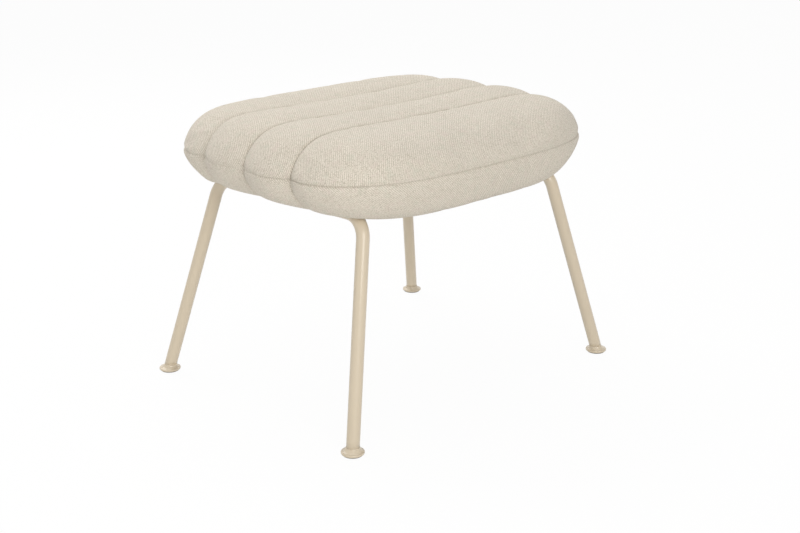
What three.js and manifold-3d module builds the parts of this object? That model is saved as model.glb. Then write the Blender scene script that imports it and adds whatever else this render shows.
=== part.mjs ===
// Fixed footstool: a cushion sewn in four channels on two bent steel hoops.
// Millimetres, +Z up. The origin is on the floor, in the middle of the footprint.
// The channels and the long side run along X, and each hoop spans Y under one end.

import * as THREE from 'three';
import { mergeVertices } from 'three/addons/utils/BufferGeometryUtils.js';
import Module from 'manifold-3d';

const wasm = await Module();
wasm.setup();

// Gaps and cutting tools
const clearance = 0.3; // left between pieces that touch on the real stool
const cutOverrun = 2; // how far a cutting tool runs past what it cuts
const weldDistance = 0.001; // points closer than this are one point

// Steel hoops
const tubeDiameter = 19;
const tubeWall = 1.5;
const bendRadius = 36; // of the tube's centreline
const footInsetX = 18.9; // from the cushion's end in to a leg's centreline on the floor
const footInsetY = 17.9; // and from its side
const runInsetX = 42.8; // from the board's end in to the level run's centreline
const legLeanYDegrees = 10.02; // how far a leg leans out towards the side
const runHeight = 311.9; // from the floor to the centreline of the level run

// Feet
const discDiameter = 33.4;
const discThickness = 3.5;
const discRimRadius = 1.4;
const glideDiameter = 28.6;
const glideThickness = 1.6;
const glideEdgeChamfer = 0.5;
const glidePegDiameter = 8;

// Mounting plates, screws and tee nuts
const plateThickness = 3;
const plateWidth = 40; // along the tube
const plateEdgeMargin = 8.5; // from a screw's centre to the end of the plate
const plateCornerRadius = 5;
const plateInset = 139.7; // from the line of the feet in to a plate's centre
const screwDiameter = 6;
const screwHeadDiameter = 11;
const screwHeadHeight = 3.6;
const screwRecessDiameter = 4.6;
const screwRecessDepth = 2;
const screwHeadToTube = 2.5; // room for the tool between a head and the tube
const screwTipBelowBoardTop = 1.2;
const teeNutBarrelDiameter = 8.6;
const teeNutFlangeDiameter = 19;
const teeNutFlangeThickness = 1.5;
const teeNutBarrelShort = 2; // the barrel stops this far above the board's underside

// Seat board and the layers under it
const boardThickness = 12;
const boardEdgeAllowance = 7; // from the board's edge to the cover's lowest line
const dustCoverThickness = 0.8;
const dustCoverMargin = 8; // from the start of the hem to the dust cover's edge
const dustCoverHoleDiameter = 8;

// Cover
const coverThickness = 1.6;
const hemRise = 12; // how far the cover runs in while it rises to the board
const hemWidth = 9; // flat strip that is stapled to the board

// Cushion outline and heights
const cushionHalfLength = 293;
const cushionHalfWidth = 232.6;
const undersideInsetX = 46; // from the end in to the lowest line, where the cover turns under
const undersideInsetY = 31.6; // and from the side
const lowestBelowHem = 5.8; // how far that line hangs below the hem at the ends
const sideSag = 13.4; // how much lower it hangs in the middle of a long side
const lowerDrop = 47; // from the seam round the middle down to that line at the ends
const topRise = 62.2; // from the same seam up to the crown
const seamTuck = 2.9; // how deep the seam lies in its groove
const channelWidth = 94.9; // of each of the two inner channels
const endTuck = 14.4; // how far a channel seam draws the cushion's end in
const valleyDepthAtEnds = 1.2;
const valleyDepthAtMiddle = 13.1;

// Roundness of the cushion. A power of 2 is round, and a larger one is squarer.
const outlinePower = 3.29;
const crownEndPower = 8.79;
const crownEndRoot = 1.2;
const crownSidePower = 4.1;
const crownSideRoot = 2.03;
const rollPower = 1.6;
const sagPower = 5.6; // a larger one keeps the sag even for longer towards the ends

// Places of the cushion's grid lines
const alongShares = [0, 0.24, 0.46, 0.65, 0.8, 0.9, 0.965, 0.993, 1]; // middle to end
const outerAcrossShares = [0, 0.3, 0.55, 0.76, 0.9, 0.975, 0.995, 1]; // seam to side
const rollShares = [0, 0.015, 0.15, 0.45, 0.75, 1]; // side seam to the lowest line
const tuckCrownShare = 0.12; // the groove ends where the crown has risen this much
const undersideTuckShare = 0.8; // of the end tuck, at the cover's lowest line
const hemTuckShare = 0.4; // and where the hem starts
const lowestTurnShare = 0.45; // of the wall: its inner side turns up this far further out
const hemTurnShare = 0.8; // and turns in to the hem this far further out
const channelSegments = 6; // across an inner channel, on its top and its end patches
const sideSegments = 18; // along an outer channel, round both corners
const arcSamples = 400;

// Facets of the round pieces
const tubeSides = 14;
const boreSides = 10;
const legSteps = 3;
const bendSteps = 7;
const runSteps = 3;
const discSides = 20;
const glideSides = 16;
const screwSides = 12;
const rimSteps = 2;
const cornerSteps = 2;
const boardOutlinePoints = 48;

// Colours of the finishes
const fabricColour = '#d6cdc0';
const steelColour = '#d6c6ab';
const foamColour = '#ece4c8';
const plywoodColour = '#c9a676';
const dustCoverColour = '#2b2a29';
const zincColour = '#b9bcc0';
const glideColour = '#8d8478';

// Heights, from the floor up
const discBottom = glideThickness + clearance;
const discTop = discBottom + discThickness;
const legBottom = discTop + clearance;
const plateBottom = runHeight + tubeDiameter / 2 + clearance;
const plateTop = plateBottom + plateThickness;
const dustCoverBottom = plateTop + clearance;
const hemBottom = dustCoverBottom + dustCoverThickness + clearance;
const hemTop = hemBottom + coverThickness;
const boardBottom = hemTop + clearance;
const boardTop = boardBottom + boardThickness;
const rollBottom = hemBottom - lowestBelowHem;
const seamHeight = rollBottom + lowerDrop;
const lowerTop = seamHeight - clearance;

// Half sizes, seen from above
const undersideHalfLength = cushionHalfLength - undersideInsetX;
const undersideHalfWidth = cushionHalfWidth - undersideInsetY;
const boardHalfLength = undersideHalfLength - boardEdgeAllowance;
const boardHalfWidth = undersideHalfWidth - boardEdgeAllowance;
const footHalfSpanX = cushionHalfLength - footInsetX;
const footHalfSpanY = cushionHalfWidth - footInsetY;
const runX = boardHalfLength - runInsetX;

// Centreline of a leg. It crosses the floor at the foot and leans inwards going up.
const leanX = (footHalfSpanX - runX) / runHeight;
const leanY = Math.tan(THREE.MathUtils.degToRad(legLeanYDegrees));
const legPoint = (height) =>
  new THREE.Vector3(footHalfSpanX - leanX * height, footHalfSpanY - leanY * height, height);

// Places of the plates and their screws, as seen from above
const screwSpacing = tubeDiameter + screwHeadDiameter + 2 * screwHeadToTube;
const plateLength = screwSpacing + 2 * plateEdgeMargin;
const endSigns = [-1, 1];
const plateCentres = [];
for (const signX of endSigns) {
  for (const signY of endSigns) {
    plateCentres.push(new THREE.Vector2(signX * runX, signY * (footHalfSpanY - plateInset)));
  }
}
const screwCentres = [];
for (const centre of plateCentres) {
  for (const sign of endSigns) {
    screwCentres.push(new THREE.Vector2(centre.x + (sign * screwSpacing) / 2, centre.y));
  }
}

// Helpers for closed solids

// Joins points that coincide, drops faces that have collapsed and turns the faces outwards.
function closeUp(geometry) {
  geometry.deleteAttribute('normal');
  geometry.deleteAttribute('uv');
  const welded = mergeVertices(geometry, weldDistance);
  const source = welded.getIndex().array;
  const kept = [];
  for (let i = 0; i < source.length; i += 3) {
    const [a, b, c] = [source[i], source[i + 1], source[i + 2]];
    if (a !== b && b !== c && c !== a) {
      kept.push(a, b, c);
    }
  }
  welded.setIndex(kept);
  if (volumeOf(welded) < 0) {
    for (let i = 0; i < kept.length; i += 3) {
      [kept[i], kept[i + 1]] = [kept[i + 1], kept[i]];
    }
    welded.setIndex(kept);
  }
  return welded;
}

function volumeOf(geometry) {
  const place = geometry.getAttribute('position');
  const index = geometry.getIndex().array;
  const corners = [new THREE.Vector3(), new THREE.Vector3(), new THREE.Vector3()];
  let sum = 0;
  for (let i = 0; i < index.length; i += 3) {
    corners.forEach((corner, k) => corner.fromBufferAttribute(place, index[i + k]));
    sum += corners[0].dot(corners[1].cross(corners[2]));
  }
  return sum / 6;
}

// A geometry from a list of triangles, each three Vector3 points in a row.
function fromTriangles(points) {
  return closeUp(new THREE.BufferGeometry().setFromPoints(points));
}

function addQuad(points, a, b, c, d) {
  points.push(a, b, c, a, c, d);
}

// A wall of cloth: an outer and an inner sheet on the same grid, joined round their rims.
function closedSheet(outer, inner) {
  const points = [];
  const rows = outer.length - 1;
  const columns = outer[0].length - 1;
  for (let r = 0; r < rows; r++) {
    for (let c = 0; c < columns; c++) {
      addQuad(points, outer[r][c], outer[r + 1][c], outer[r + 1][c + 1], outer[r][c + 1]);
      addQuad(points, inner[r][c], inner[r][c + 1], inner[r + 1][c + 1], inner[r + 1][c]);
    }
  }
  for (let c = 0; c < columns; c++) {
    addQuad(points, outer[0][c], outer[0][c + 1], inner[0][c + 1], inner[0][c]);
    addQuad(points, outer[rows][c + 1], outer[rows][c], inner[rows][c], inner[rows][c + 1]);
  }
  for (let r = 0; r < rows; r++) {
    addQuad(points, outer[r + 1][0], outer[r][0], inner[r][0], inner[r + 1][0]);
    addQuad(points, outer[r][columns], outer[r + 1][columns], inner[r + 1][columns], inner[r][columns]);
  }
  return fromTriangles(points);
}

// A block: a curved sheet on top and a level floor on the same grid, joined round their rims.
// The floor has faces only between its first and last columns.
function blockBetween(sheet, floor) {
  const points = [];
  const rows = sheet.length - 1;
  const columns = sheet[0].length - 1;
  for (let r = 0; r < rows; r++) {
    for (let c = 0; c < columns; c++) {
      addQuad(points, sheet[r][c], sheet[r + 1][c], sheet[r + 1][c + 1], sheet[r][c + 1]);
    }
    addQuad(points, sheet[r + 1][0], sheet[r][0], floor[r][0], floor[r + 1][0]);
    addQuad(points, sheet[r][columns], sheet[r + 1][columns], floor[r + 1][columns], floor[r][columns]);
    if (r > 0 && r < rows - 1) {
      addQuad(points, floor[r][0], floor[r][columns], floor[r + 1][columns], floor[r + 1][0]);
    }
  }
  for (let c = 0; c < columns; c++) {
    addQuad(points, sheet[0][c], sheet[0][c + 1], floor[0][c + 1], floor[0][c]);
    addQuad(points, sheet[rows][c + 1], sheet[rows][c], floor[rows][c], floor[rows][c + 1]);
    points.push(floor[1][0], floor[0][c], floor[0][c + 1]);
    points.push(floor[rows - 1][0], floor[rows][c + 1], floor[rows][c]);
  }
  points.push(floor[1][0], floor[0][columns], floor[1][columns]);
  points.push(floor[rows - 1][0], floor[rows - 1][columns], floor[rows][columns]);
  return fromTriangles(points);
}

// A body of rings stacked from the top down, closed by a level face at both ends.
function ringedBody(rings) {
  const points = [];
  const count = rings[0].length;
  const first = rings[0];
  const last = rings[rings.length - 1];
  const topMiddle = new THREE.Vector3(0, 0, first[0].z);
  const bottomMiddle = new THREE.Vector3(0, 0, last[0].z);
  for (let i = 0; i < count; i++) {
    const next = (i + 1) % count;
    for (let k = 0; k < rings.length - 1; k++) {
      addQuad(points, rings[k][i], rings[k + 1][i], rings[k + 1][next], rings[k][next]);
    }
    points.push(topMiddle, first[i], first[next]);
    points.push(bottomMiddle, last[next], last[i]);
  }
  return fromTriangles(points);
}

function toSolid(geometry) {
  const closed = closeUp(geometry);
  return new wasm.Manifold(
    new wasm.Mesh({
      numProp: 3,
      vertProperties: new Float32Array(closed.getAttribute('position').array),
      triVerts: new Uint32Array(closed.getIndex().array),
    }),
  );
}

function toGeometry(solid) {
  const mesh = solid.getMesh();
  const geometry = new THREE.BufferGeometry();
  geometry.setAttribute('position', new THREE.BufferAttribute(new Float32Array(mesh.vertProperties), 3));
  geometry.setIndex(new THREE.BufferAttribute(new Uint32Array(mesh.triVerts), 1));
  return geometry;
}

// A level plate with its underside at z = bottom, from a shape seen from above.
function levelPlate(shape, thickness, bottom) {
  const geometry = new THREE.ExtrudeGeometry(shape, {
    depth: thickness,
    bevelEnabled: false,
    curveSegments: cornerSteps,
  });
  geometry.translate(0, 0, bottom);
  return closeUp(geometry);
}

// A turned piece. The profile gives radius and height, and closes on itself or on the axis.
function turned(profile, sides) {
  const geometry = new THREE.LatheGeometry(profile, sides);
  geometry.rotateX(Math.PI / 2);
  return closeUp(geometry);
}

// An upright cylinder from z = bottom to z = top.
function uprightCylinder(diameter, bottom, top, sides, centre) {
  const geometry = new THREE.CylinderGeometry(diameter / 2, diameter / 2, top - bottom, sides);
  geometry.rotateX(Math.PI / 2);
  geometry.translate(centre.x, centre.y, (top + bottom) / 2);
  return geometry;
}

// Points of a quarter round, from angle start to angle end, about a centre of the profile.
function quarterRound(radius, centreX, centreY, start, end) {
  const points = [];
  for (let i = 0; i <= rimSteps; i++) {
    const angle = THREE.MathUtils.lerp(start, end, i / rimSteps);
    const [c, s] = [Math.cos(angle), Math.sin(angle)];
    points.push(new THREE.Vector2(centreX + radius * c, centreY + radius * s));
  }
  return points;
}

// Cushion form

// 0 on a channel seam and 1 on the crest of a channel.
function channelFullness(y) {
  const across = Math.abs(y);
  const fromSeam = Math.min(across, Math.abs(across - channelWidth));
  const share = Math.min(fromSeam / (channelWidth / 2), 1);
  return 1 - (1 - share) ** 2;
}

// Half length of a rounded outline at a distance y from the middle.
function reachAt(y, halfLength, halfWidth, tuck) {
  const share = Math.min(Math.abs(y) / halfWidth, 1);
  const rounded = halfLength * (1 - share ** outlinePower) ** (1 / outlinePower);
  return rounded - tuck * (1 - channelFullness(y));
}

// Evenly spaced points of the outline on the +Y side, from the outer seam at +X to that at -X.
function sideArc(halfLength, halfWidth, tuck, seamY) {
  const start = Math.asin((seamY / halfWidth) ** (outlinePower / 2));
  const dense = [];
  for (let i = 0; i <= arcSamples; i++) {
    const angle = THREE.MathUtils.lerp(start, Math.PI - start, i / arcSamples);
    const side = Math.sign(Math.cos(angle));
    const x = side * halfLength * Math.abs(Math.cos(angle)) ** (2 / outlinePower);
    const y = halfWidth * Math.abs(Math.sin(angle)) ** (2 / outlinePower);
    dense.push(new THREE.Vector2(x - side * tuck * (1 - channelFullness(y)), y));
  }
  const lengths = [0];
  for (let i = 1; i < dense.length; i++) {
    lengths.push(lengths[i - 1] + dense[i].distanceTo(dense[i - 1]));
  }
  const total = lengths[lengths.length - 1];
  const points = [];
  for (let k = 0; k <= sideSegments; k++) {
    const target = (total * k) / sideSegments;
    let i = 1;
    while (i < dense.length - 1 && lengths[i] < target) {
      i++;
    }
    const share = (target - lengths[i - 1]) / (lengths[i] - lengths[i - 1]);
    points.push(dense[i - 1].clone().lerp(dense[i], share));
  }
  return points;
}

// The top surface above a point of the plan, with the groove of the middle seam at its rim.
function topPoint(x, y) {
  const reach = reachAt(y, cushionHalfLength, cushionHalfWidth, endTuck);
  const along = reach > 0 ? Math.min(Math.abs(x) / reach, 1) : 1;
  const across = Math.min(Math.abs(y) / cushionHalfWidth, 1);
  const endCrown = (1 - along ** crownEndPower) ** (1 / crownEndRoot);
  const sideCrown = (1 - across ** crownSidePower) ** (1 / crownSideRoot);
  const crown = endCrown * sideCrown;
  const depth = THREE.MathUtils.lerp(valleyDepthAtEnds, valleyDepthAtMiddle, 1 - along ** 2);
  const valley = (1 - channelFullness(y)) * crown * depth;
  const point = new THREE.Vector3(x, y, seamHeight + crown * topRise - valley);
  return tucked(point, Math.max(1 - crown / tuckCrownShare, 0));
}

// Draws a point straight in towards the middle by a share of the seam's tuck.
// Points on a channel seam only move along it, so neighbouring channels stay apart.
function tucked(point, share) {
  const plan = new THREE.Vector2(point.x, point.y);
  const pull = plan.clone().setLength(seamTuck * share);
  const outer = Math.max(Math.abs(point.y) - channelWidth - clearance, 0);
  const give = Math.min(outer / (seamTuck + clearance), 1);
  return new THREE.Vector3(point.x - pull.x, point.y - pull.y * give, point.z);
}

// The same point a little further in: inside the cover by its thickness, for instance.
function insetPlan(x, y, inset) {
  const outer = Math.abs(y) - channelWidth;
  const narrowed = (cushionHalfWidth - channelWidth - inset) / (cushionHalfWidth - channelWidth);
  const newY = outer > 0 ? Math.sign(y) * (channelWidth + outer * narrowed) : y;
  return new THREE.Vector2((x * (cushionHalfLength - inset)) / cushionHalfLength, newY);
}

function insetTop(point, inset) {
  const plan = insetPlan(point.x, point.y, inset);
  const rise = ((point.z - seamHeight) * (topRise - inset)) / topRise;
  return new THREE.Vector3(plan.x, plan.y, seamHeight + rise);
}

// Distance from the middle seam of a grid line across an inner channel. Half the gap between
// two panels is left free at both of its seams.
function acrossChannel(line, gap) {
  return THREE.MathUtils.lerp(gap / 2, channelWidth - gap / 2, line / channelSegments);
}

// Grid of an inner channel's top: rows along X, columns from one seam to the next.
function innerTopGrid(side) {
  const mirrored = alongShares.slice(1).reverse().map((share) => -share);
  const shares = [...mirrored, ...alongShares];
  return shares.map((share) => {
    const row = [];
    for (let c = 0; c <= channelSegments; c++) {
      const y = side * acrossChannel(c, clearance);
      row.push(topPoint(share * reachAt(y, cushionHalfLength, cushionHalfWidth, endTuck), y));
    }
    return row;
  });
}

// Grid of an outer channel's top: rows round the side, columns from the seam out to the rim.
function outerTopGrid(side) {
  const seamY = channelWidth + clearance / 2;
  const rim = sideArc(cushionHalfLength, cushionHalfWidth, endTuck, seamY);
  const reach = rim[0].x;
  return rim.map((rimPoint, r) => {
    const seamX = reach * Math.cos((Math.PI * r) / sideSegments);
    return outerAcrossShares.map((share) => {
      const x = THREE.MathUtils.lerp(seamX, rimPoint.x, share);
      const y = THREE.MathUtils.lerp(seamY, rimPoint.y, share);
      return topPoint(x, side * y);
    });
  });
}

// How much lower than at the ends the lowest line hangs, at a point of that line.
function sagAt(underside) {
  const share = Math.min(Math.abs(underside.x) / undersideHalfLength, 1);
  return sideSag * (1 - share ** sagPower);
}

// Height of the lower cover's roll, at a share of its way in to the lowest line.
function rollHeight(share, sag, inset) {
  const drop = (1 - (1 - share) ** rollPower) ** (1 / rollPower);
  return lowerTop - drop * (lowerTop - rollBottom + sag - inset);
}

// Points of the lower cover at one place round the cushion: the roll, the rise and the hem.
// outline, underside, hemStart and hemEnd are that place on the four outlines.
function lowerProfile(place, inset) {
  const sag = sagAt(place.underside);
  const points = rollShares.map((share) => {
    const plan = place.outline.clone().lerp(place.underside, share);
    const height = rollHeight(share, sag, inset);
    const point = tucked(new THREE.Vector3(plan.x, plan.y, height), share === 0 ? 1 : 0);
    const moved = insetPlan(point.x, point.y, share === 1 ? -lowestTurnShare * inset : inset);
    return new THREE.Vector3(moved.x, moved.y, height);
  });
  const hemTurn = insetPlan(place.hemStart.x, place.hemStart.y, -hemTurnShare * inset);
  for (const plan of [hemTurn, place.hemEnd]) {
    points.push(new THREE.Vector3(plan.x, plan.y, hemBottom + inset));
  }
  return points;
}

const lowerOutlines = {
  outline: [cushionHalfLength, cushionHalfWidth, endTuck],
  underside: [undersideHalfLength, undersideHalfWidth, endTuck * undersideTuckShare],
  hemStart: [undersideHalfLength - hemRise, undersideHalfWidth - hemRise, endTuck * hemTuckShare],
  hemEnd: [undersideHalfLength - hemRise - hemWidth, undersideHalfWidth - hemRise - hemWidth, 0],
};

// Places round one side, counter-clockwise seen from above like all places.
function sidePlaces(side, gap) {
  const arcs = {};
  for (const [name, [halfLength, halfWidth, tuck]] of Object.entries(lowerOutlines)) {
    arcs[name] = sideArc(halfLength, halfWidth, tuck, channelWidth + gap / 2);
  }
  const places = [];
  for (let i = 0; i <= sideSegments; i++) {
    const place = {};
    for (const name of Object.keys(lowerOutlines)) {
      place[name] = new THREE.Vector2(arcs[name][i].x, side * arcs[name][i].y);
    }
    places.push(place);
  }
  return side > 0 ? places : places.reverse();
}

// Places across one inner channel at one end.
function endPlaces(end, side, gap) {
  const places = [];
  for (let i = 0; i <= channelSegments; i++) {
    const y = side * acrossChannel(i, gap);
    const place = {};
    for (const [name, [halfLength, halfWidth, tuck]] of Object.entries(lowerOutlines)) {
      place[name] = new THREE.Vector2(end * reachAt(y, halfLength, halfWidth, tuck), y);
    }
    places.push(place);
  }
  return end * side > 0 ? places : places.reverse();
}

function lowerPanel(places) {
  return closedSheet(
    places.map((place) => lowerProfile(place, 0)),
    places.map((place) => lowerProfile(place, coverThickness)),
  );
}

// Seat parts

// Rounded outline of the board and of what follows it, without channels.
function roundedOutline(halfLength, halfWidth) {
  const points = [];
  for (let i = 0; i < boardOutlinePoints; i++) {
    const angle = (2 * Math.PI * i) / boardOutlinePoints;
    const [c, s] = [Math.cos(angle), Math.sin(angle)];
    const x = halfLength * Math.sign(c) * Math.abs(c) ** (2 / outlinePower);
    const y = halfWidth * Math.sign(s) * Math.abs(s) ** (2 / outlinePower);
    points.push(new THREE.Vector2(x, y));
  }
  return points;
}

// Plywood board with a stepped hole for each tee nut, whose flange lies flush with the top.
function seatBoard() {
  const shape = new THREE.Shape(roundedOutline(boardHalfLength, boardHalfWidth));
  let board = toSolid(levelPlate(shape, boardThickness, boardBottom));
  const barrelHole = teeNutBarrelDiameter + 2 * clearance;
  const flangeHole = teeNutFlangeDiameter + 2 * clearance;
  const flangeSeat = boardTop - teeNutFlangeThickness - clearance;
  for (const centre of screwCentres) {
    const [low, high] = [boardBottom - cutOverrun, boardTop + cutOverrun];
    const drill = uprightCylinder(barrelHole, low, high, screwSides, centre);
    const sink = uprightCylinder(flangeHole, flangeSeat, high, screwSides, centre);
    board = board.subtract(toSolid(drill)).subtract(toSolid(sink));
  }
  return toGeometry(board);
}

// The foam lies inside the cover. Its channels stand on the base just below the middle seam.
const foamInset = coverThickness + clearance;
const foamTopStation = 1; // of rollShares, where the base foam's top face lies
const channelFoamBottom = rollHeight(rollShares[foamTopStation], 0, foamInset) + clearance;

// Foam of one channel. Its floor lies as far in as its rim, which the seam's groove draws in.
function channelFoam(grid) {
  const sheet = grid.map((row) => row.map((point) => insetTop(point, foamInset)));
  const below = (point) => (point.z > seamHeight ? tucked(point, 1) : point.clone());
  const floor = sheet.map((row) => row.map((point) => below(point).setZ(channelFoamBottom)));
  return blockBetween(sheet, floor);
}

// Lower foam: it fills the cover below the middle seam and wraps the board's edge.
function foamBase() {
  const places = [];
  for (const end of [1, -1]) {
    places.push(...endPlaces(end, -end, 0).slice(0, -1));
    places.push(...endPlaces(end, end, 0).slice(0, -1));
    places.push(...sidePlaces(end, 0).slice(0, -1));
  }
  const profiles = places.map((place) => lowerProfile(place, foamInset));
  const rings = [];
  for (let k = foamTopStation; k <= rollShares.length; k++) {
    rings.push(profiles.map((profile) => profile[k]));
  }
  const outline = roundedOutline(boardHalfLength + clearance, boardHalfWidth + clearance);
  const recess = new THREE.Shape(outline);
  const recessBottom = rollBottom - sideSag - cutOverrun;
  const recessTop = boardTop + clearance;
  const cutter = levelPlate(recess, recessTop - recessBottom, recessBottom);
  return toGeometry(toSolid(ringedBody(rings)).subtract(toSolid(cutter)));
}

// Thin cloth under the board, with a hole for each screw.
function dustCover() {
  const inset = hemRise + dustCoverMargin;
  const outline = roundedOutline(undersideHalfLength - inset, undersideHalfWidth - inset);
  let cloth = toSolid(levelPlate(new THREE.Shape(outline), dustCoverThickness, dustCoverBottom));
  for (const centre of screwCentres) {
    const low = dustCoverBottom - cutOverrun;
    const high = dustCoverBottom + dustCoverThickness + cutOverrun;
    const hole = uprightCylinder(dustCoverHoleDiameter, low, high, screwSides, centre);
    cloth = cloth.subtract(toSolid(hole));
  }
  return toGeometry(cloth);
}

// Frame parts

// A path through given stations, for a tube whose steps are close only in the bends.
class StationPath extends THREE.Curve {
  constructor(points, tangents) {
    super();
    this.points = points;
    this.tangents = tangents;
  }

  between(list, share) {
    const place = share * (list.length - 1);
    const i = Math.min(Math.floor(place), list.length - 2);
    return list[i].clone().lerp(list[i + 1], place - i);
  }

  getPoint(share) {
    return this.between(this.points, share);
  }

  getPointAt(share) {
    return this.between(this.points, share);
  }

  getTangentAt(share) {
    return this.between(this.tangents, share).normalize();
  }
}

// Centreline of the hoop at +X: up one leg, along the level run and down the other leg.
function hoopPath() {
  const corner = legPoint(runHeight);
  const foot = legPoint(legBottom - tubeDiameter / 2);
  const up = corner.clone().sub(foot).normalize();
  const inward = new THREE.Vector3(0, -1, 0);
  const turn = up.angleTo(inward);
  const setback = bendRadius * Math.tan(turn / 2);
  const bendStart = corner.clone().addScaledVector(up, -setback);
  const side = inward.clone().addScaledVector(up, -inward.dot(up)).normalize();
  const points = [];
  const tangents = [];
  for (let i = 0; i < legSteps; i++) {
    points.push(foot.clone().lerp(bendStart, i / legSteps));
    tangents.push(up.clone());
  }
  for (let i = 0; i <= bendSteps; i++) {
    const angle = (turn * i) / bendSteps;
    const point = bendStart.clone();
    point.addScaledVector(up, bendRadius * Math.sin(angle));
    point.addScaledVector(side, bendRadius * (1 - Math.cos(angle)));
    points.push(point);
    tangents.push(up.clone().multiplyScalar(Math.cos(angle)).addScaledVector(side, Math.sin(angle)));
  }
  const half = points.length;
  const runEnd = points[half - 1];
  for (let i = 1; i < runSteps; i++) {
    const y = THREE.MathUtils.lerp(runEnd.y, -runEnd.y, i / runSteps);
    points.push(new THREE.Vector3(runEnd.x, y, runEnd.z));
    tangents.push(inward.clone());
  }
  for (let i = half - 1; i >= 0; i--) {
    points.push(new THREE.Vector3(points[i].x, -points[i].y, points[i].z));
    tangents.push(new THREE.Vector3(-tangents[i].x, tangents[i].y, -tangents[i].z));
  }
  return new StationPath(points, tangents);
}

function circle(radius, sides) {
  const points = [];
  for (let i = 0; i < sides; i++) {
    const angle = (2 * Math.PI * i) / sides;
    points.push(new THREE.Vector2(radius * Math.cos(angle), radius * Math.sin(angle)));
  }
  return points;
}

// Bent tube, open at both ends, with its ends cut level to stand on the foot discs.
function legHoop(end) {
  const path = hoopPath();
  const section = new THREE.Shape(circle(tubeDiameter / 2, tubeSides));
  section.holes.push(new THREE.Path(circle(tubeDiameter / 2 - tubeWall, boreSides)));
  const steps = path.points.length - 1;
  const tube = toSolid(new THREE.ExtrudeGeometry(section, { steps, extrudePath: path }));
  const depth = 2 * tubeDiameter;
  const block = new THREE.BoxGeometry(2 * depth, 2 * (footHalfSpanY + depth), depth);
  block.translate(footHalfSpanX, 0, legBottom - depth / 2);
  const hoop = toGeometry(tube.subtract(toSolid(block)));
  if (end < 0) {
    hoop.rotateZ(Math.PI);
  }
  return hoop;
}

// Round flange that is welded under a leg, with a hole for the glide's peg.
function footDisc() {
  const hole = glidePegDiameter / 2 + clearance;
  const flat = discDiameter / 2 - discRimRadius;
  const profile = [
    new THREE.Vector2(hole, 0),
    ...quarterRound(discRimRadius, flat, discRimRadius, -Math.PI / 2, 0),
    ...quarterRound(discRimRadius, flat, discThickness - discRimRadius, 0, Math.PI / 2),
    new THREE.Vector2(hole, discThickness),
    new THREE.Vector2(hole, 0),
  ];
  return turned(profile, discSides);
}

// Nylon glide under a foot disc, with a peg that is pressed into the disc.
function glide() {
  const profile = [
    new THREE.Vector2(0, 0),
    new THREE.Vector2(glideDiameter / 2 - glideEdgeChamfer, 0),
    new THREE.Vector2(glideDiameter / 2, glideEdgeChamfer),
    new THREE.Vector2(glideDiameter / 2, glideThickness),
    new THREE.Vector2(glidePegDiameter / 2, glideThickness),
    new THREE.Vector2(glidePegDiameter / 2, discTop),
    new THREE.Vector2(0, discTop),
  ];
  return turned(profile, glideSides);
}

// Flat plate that is welded on the run, with a screw hole on each side of the tube.
function mountingPlate() {
  const [x, y, r] = [plateLength / 2, plateWidth / 2, plateCornerRadius];
  const shape = new THREE.Shape();
  shape.moveTo(-x + r, -y);
  shape.lineTo(x - r, -y);
  shape.absarc(x - r, -y + r, r, -Math.PI / 2, 0);
  shape.lineTo(x, y - r);
  shape.absarc(x - r, y - r, r, 0, Math.PI / 2);
  shape.lineTo(-x + r, y);
  shape.absarc(-x + r, y - r, r, Math.PI / 2, Math.PI);
  shape.lineTo(-x, -y + r);
  shape.absarc(-x + r, -y + r, r, Math.PI, (3 * Math.PI) / 2);
  for (const sign of endSigns) {
    const hole = circle(screwDiameter / 2 + clearance, screwSides);
    const centre = new THREE.Vector2((sign * screwSpacing) / 2, 0);
    shape.holes.push(new THREE.Path(hole.map((point) => point.add(centre))));
  }
  return levelPlate(shape, plateThickness, 0);
}

// Pan-head screw, drawn head down, from the head's seat at z = 0 up to its tip.
const screwLength = boardTop - screwTipBelowBoardTop - (plateBottom - clearance);
function screw() {
  const [shank, head] = [screwDiameter / 2, screwHeadDiameter / 2];
  const domed = new THREE.Vector2(screwRecessDiameter / 2, -screwHeadHeight);
  const profile = [
    new THREE.Vector2(0, -screwHeadHeight + screwRecessDepth),
    new THREE.Vector2(domed.x, -screwHeadHeight + screwRecessDepth),
    domed,
    new THREE.Vector2((domed.x + head) / 2, -screwHeadHeight),
    new THREE.Vector2(head, -screwHeadHeight / 2),
    new THREE.Vector2(head, 0),
    new THREE.Vector2(shank, 0),
    new THREE.Vector2(shank, screwLength),
    new THREE.Vector2(0, screwLength),
  ];
  return turned(profile, screwSides);
}

// Tee nut, from its flange's top at z = 0 down to the end of its barrel.
const teeNutLength = boardThickness - teeNutBarrelShort;
function teeNut() {
  const bore = screwDiameter / 2 + clearance;
  const profile = [
    new THREE.Vector2(bore, -teeNutLength),
    new THREE.Vector2(teeNutBarrelDiameter / 2, -teeNutLength),
    new THREE.Vector2(teeNutBarrelDiameter / 2, -teeNutFlangeThickness),
    new THREE.Vector2(teeNutFlangeDiameter / 2, -teeNutFlangeThickness),
    new THREE.Vector2(teeNutFlangeDiameter / 2, 0),
    new THREE.Vector2(bore, 0),
    new THREE.Vector2(bore, -teeNutLength),
  ];
  return turned(profile, screwSides);
}

// Assembly

const stool = new THREE.Group();

function add(name, geometry, colour, roughness, metalness, place) {
  const material = new THREE.MeshStandardMaterial({ color: colour, roughness, metalness });
  const mesh = new THREE.Mesh(geometry, material);
  mesh.name = name;
  if (place) {
    mesh.position.copy(place);
  }
  stool.add(mesh);
}

const addFabric = (name, geometry) => add(name, geometry, fabricColour, 0.95, 0);
const addFoam = (name, geometry) => add(name, geometry, foamColour, 0.9, 0);

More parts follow.
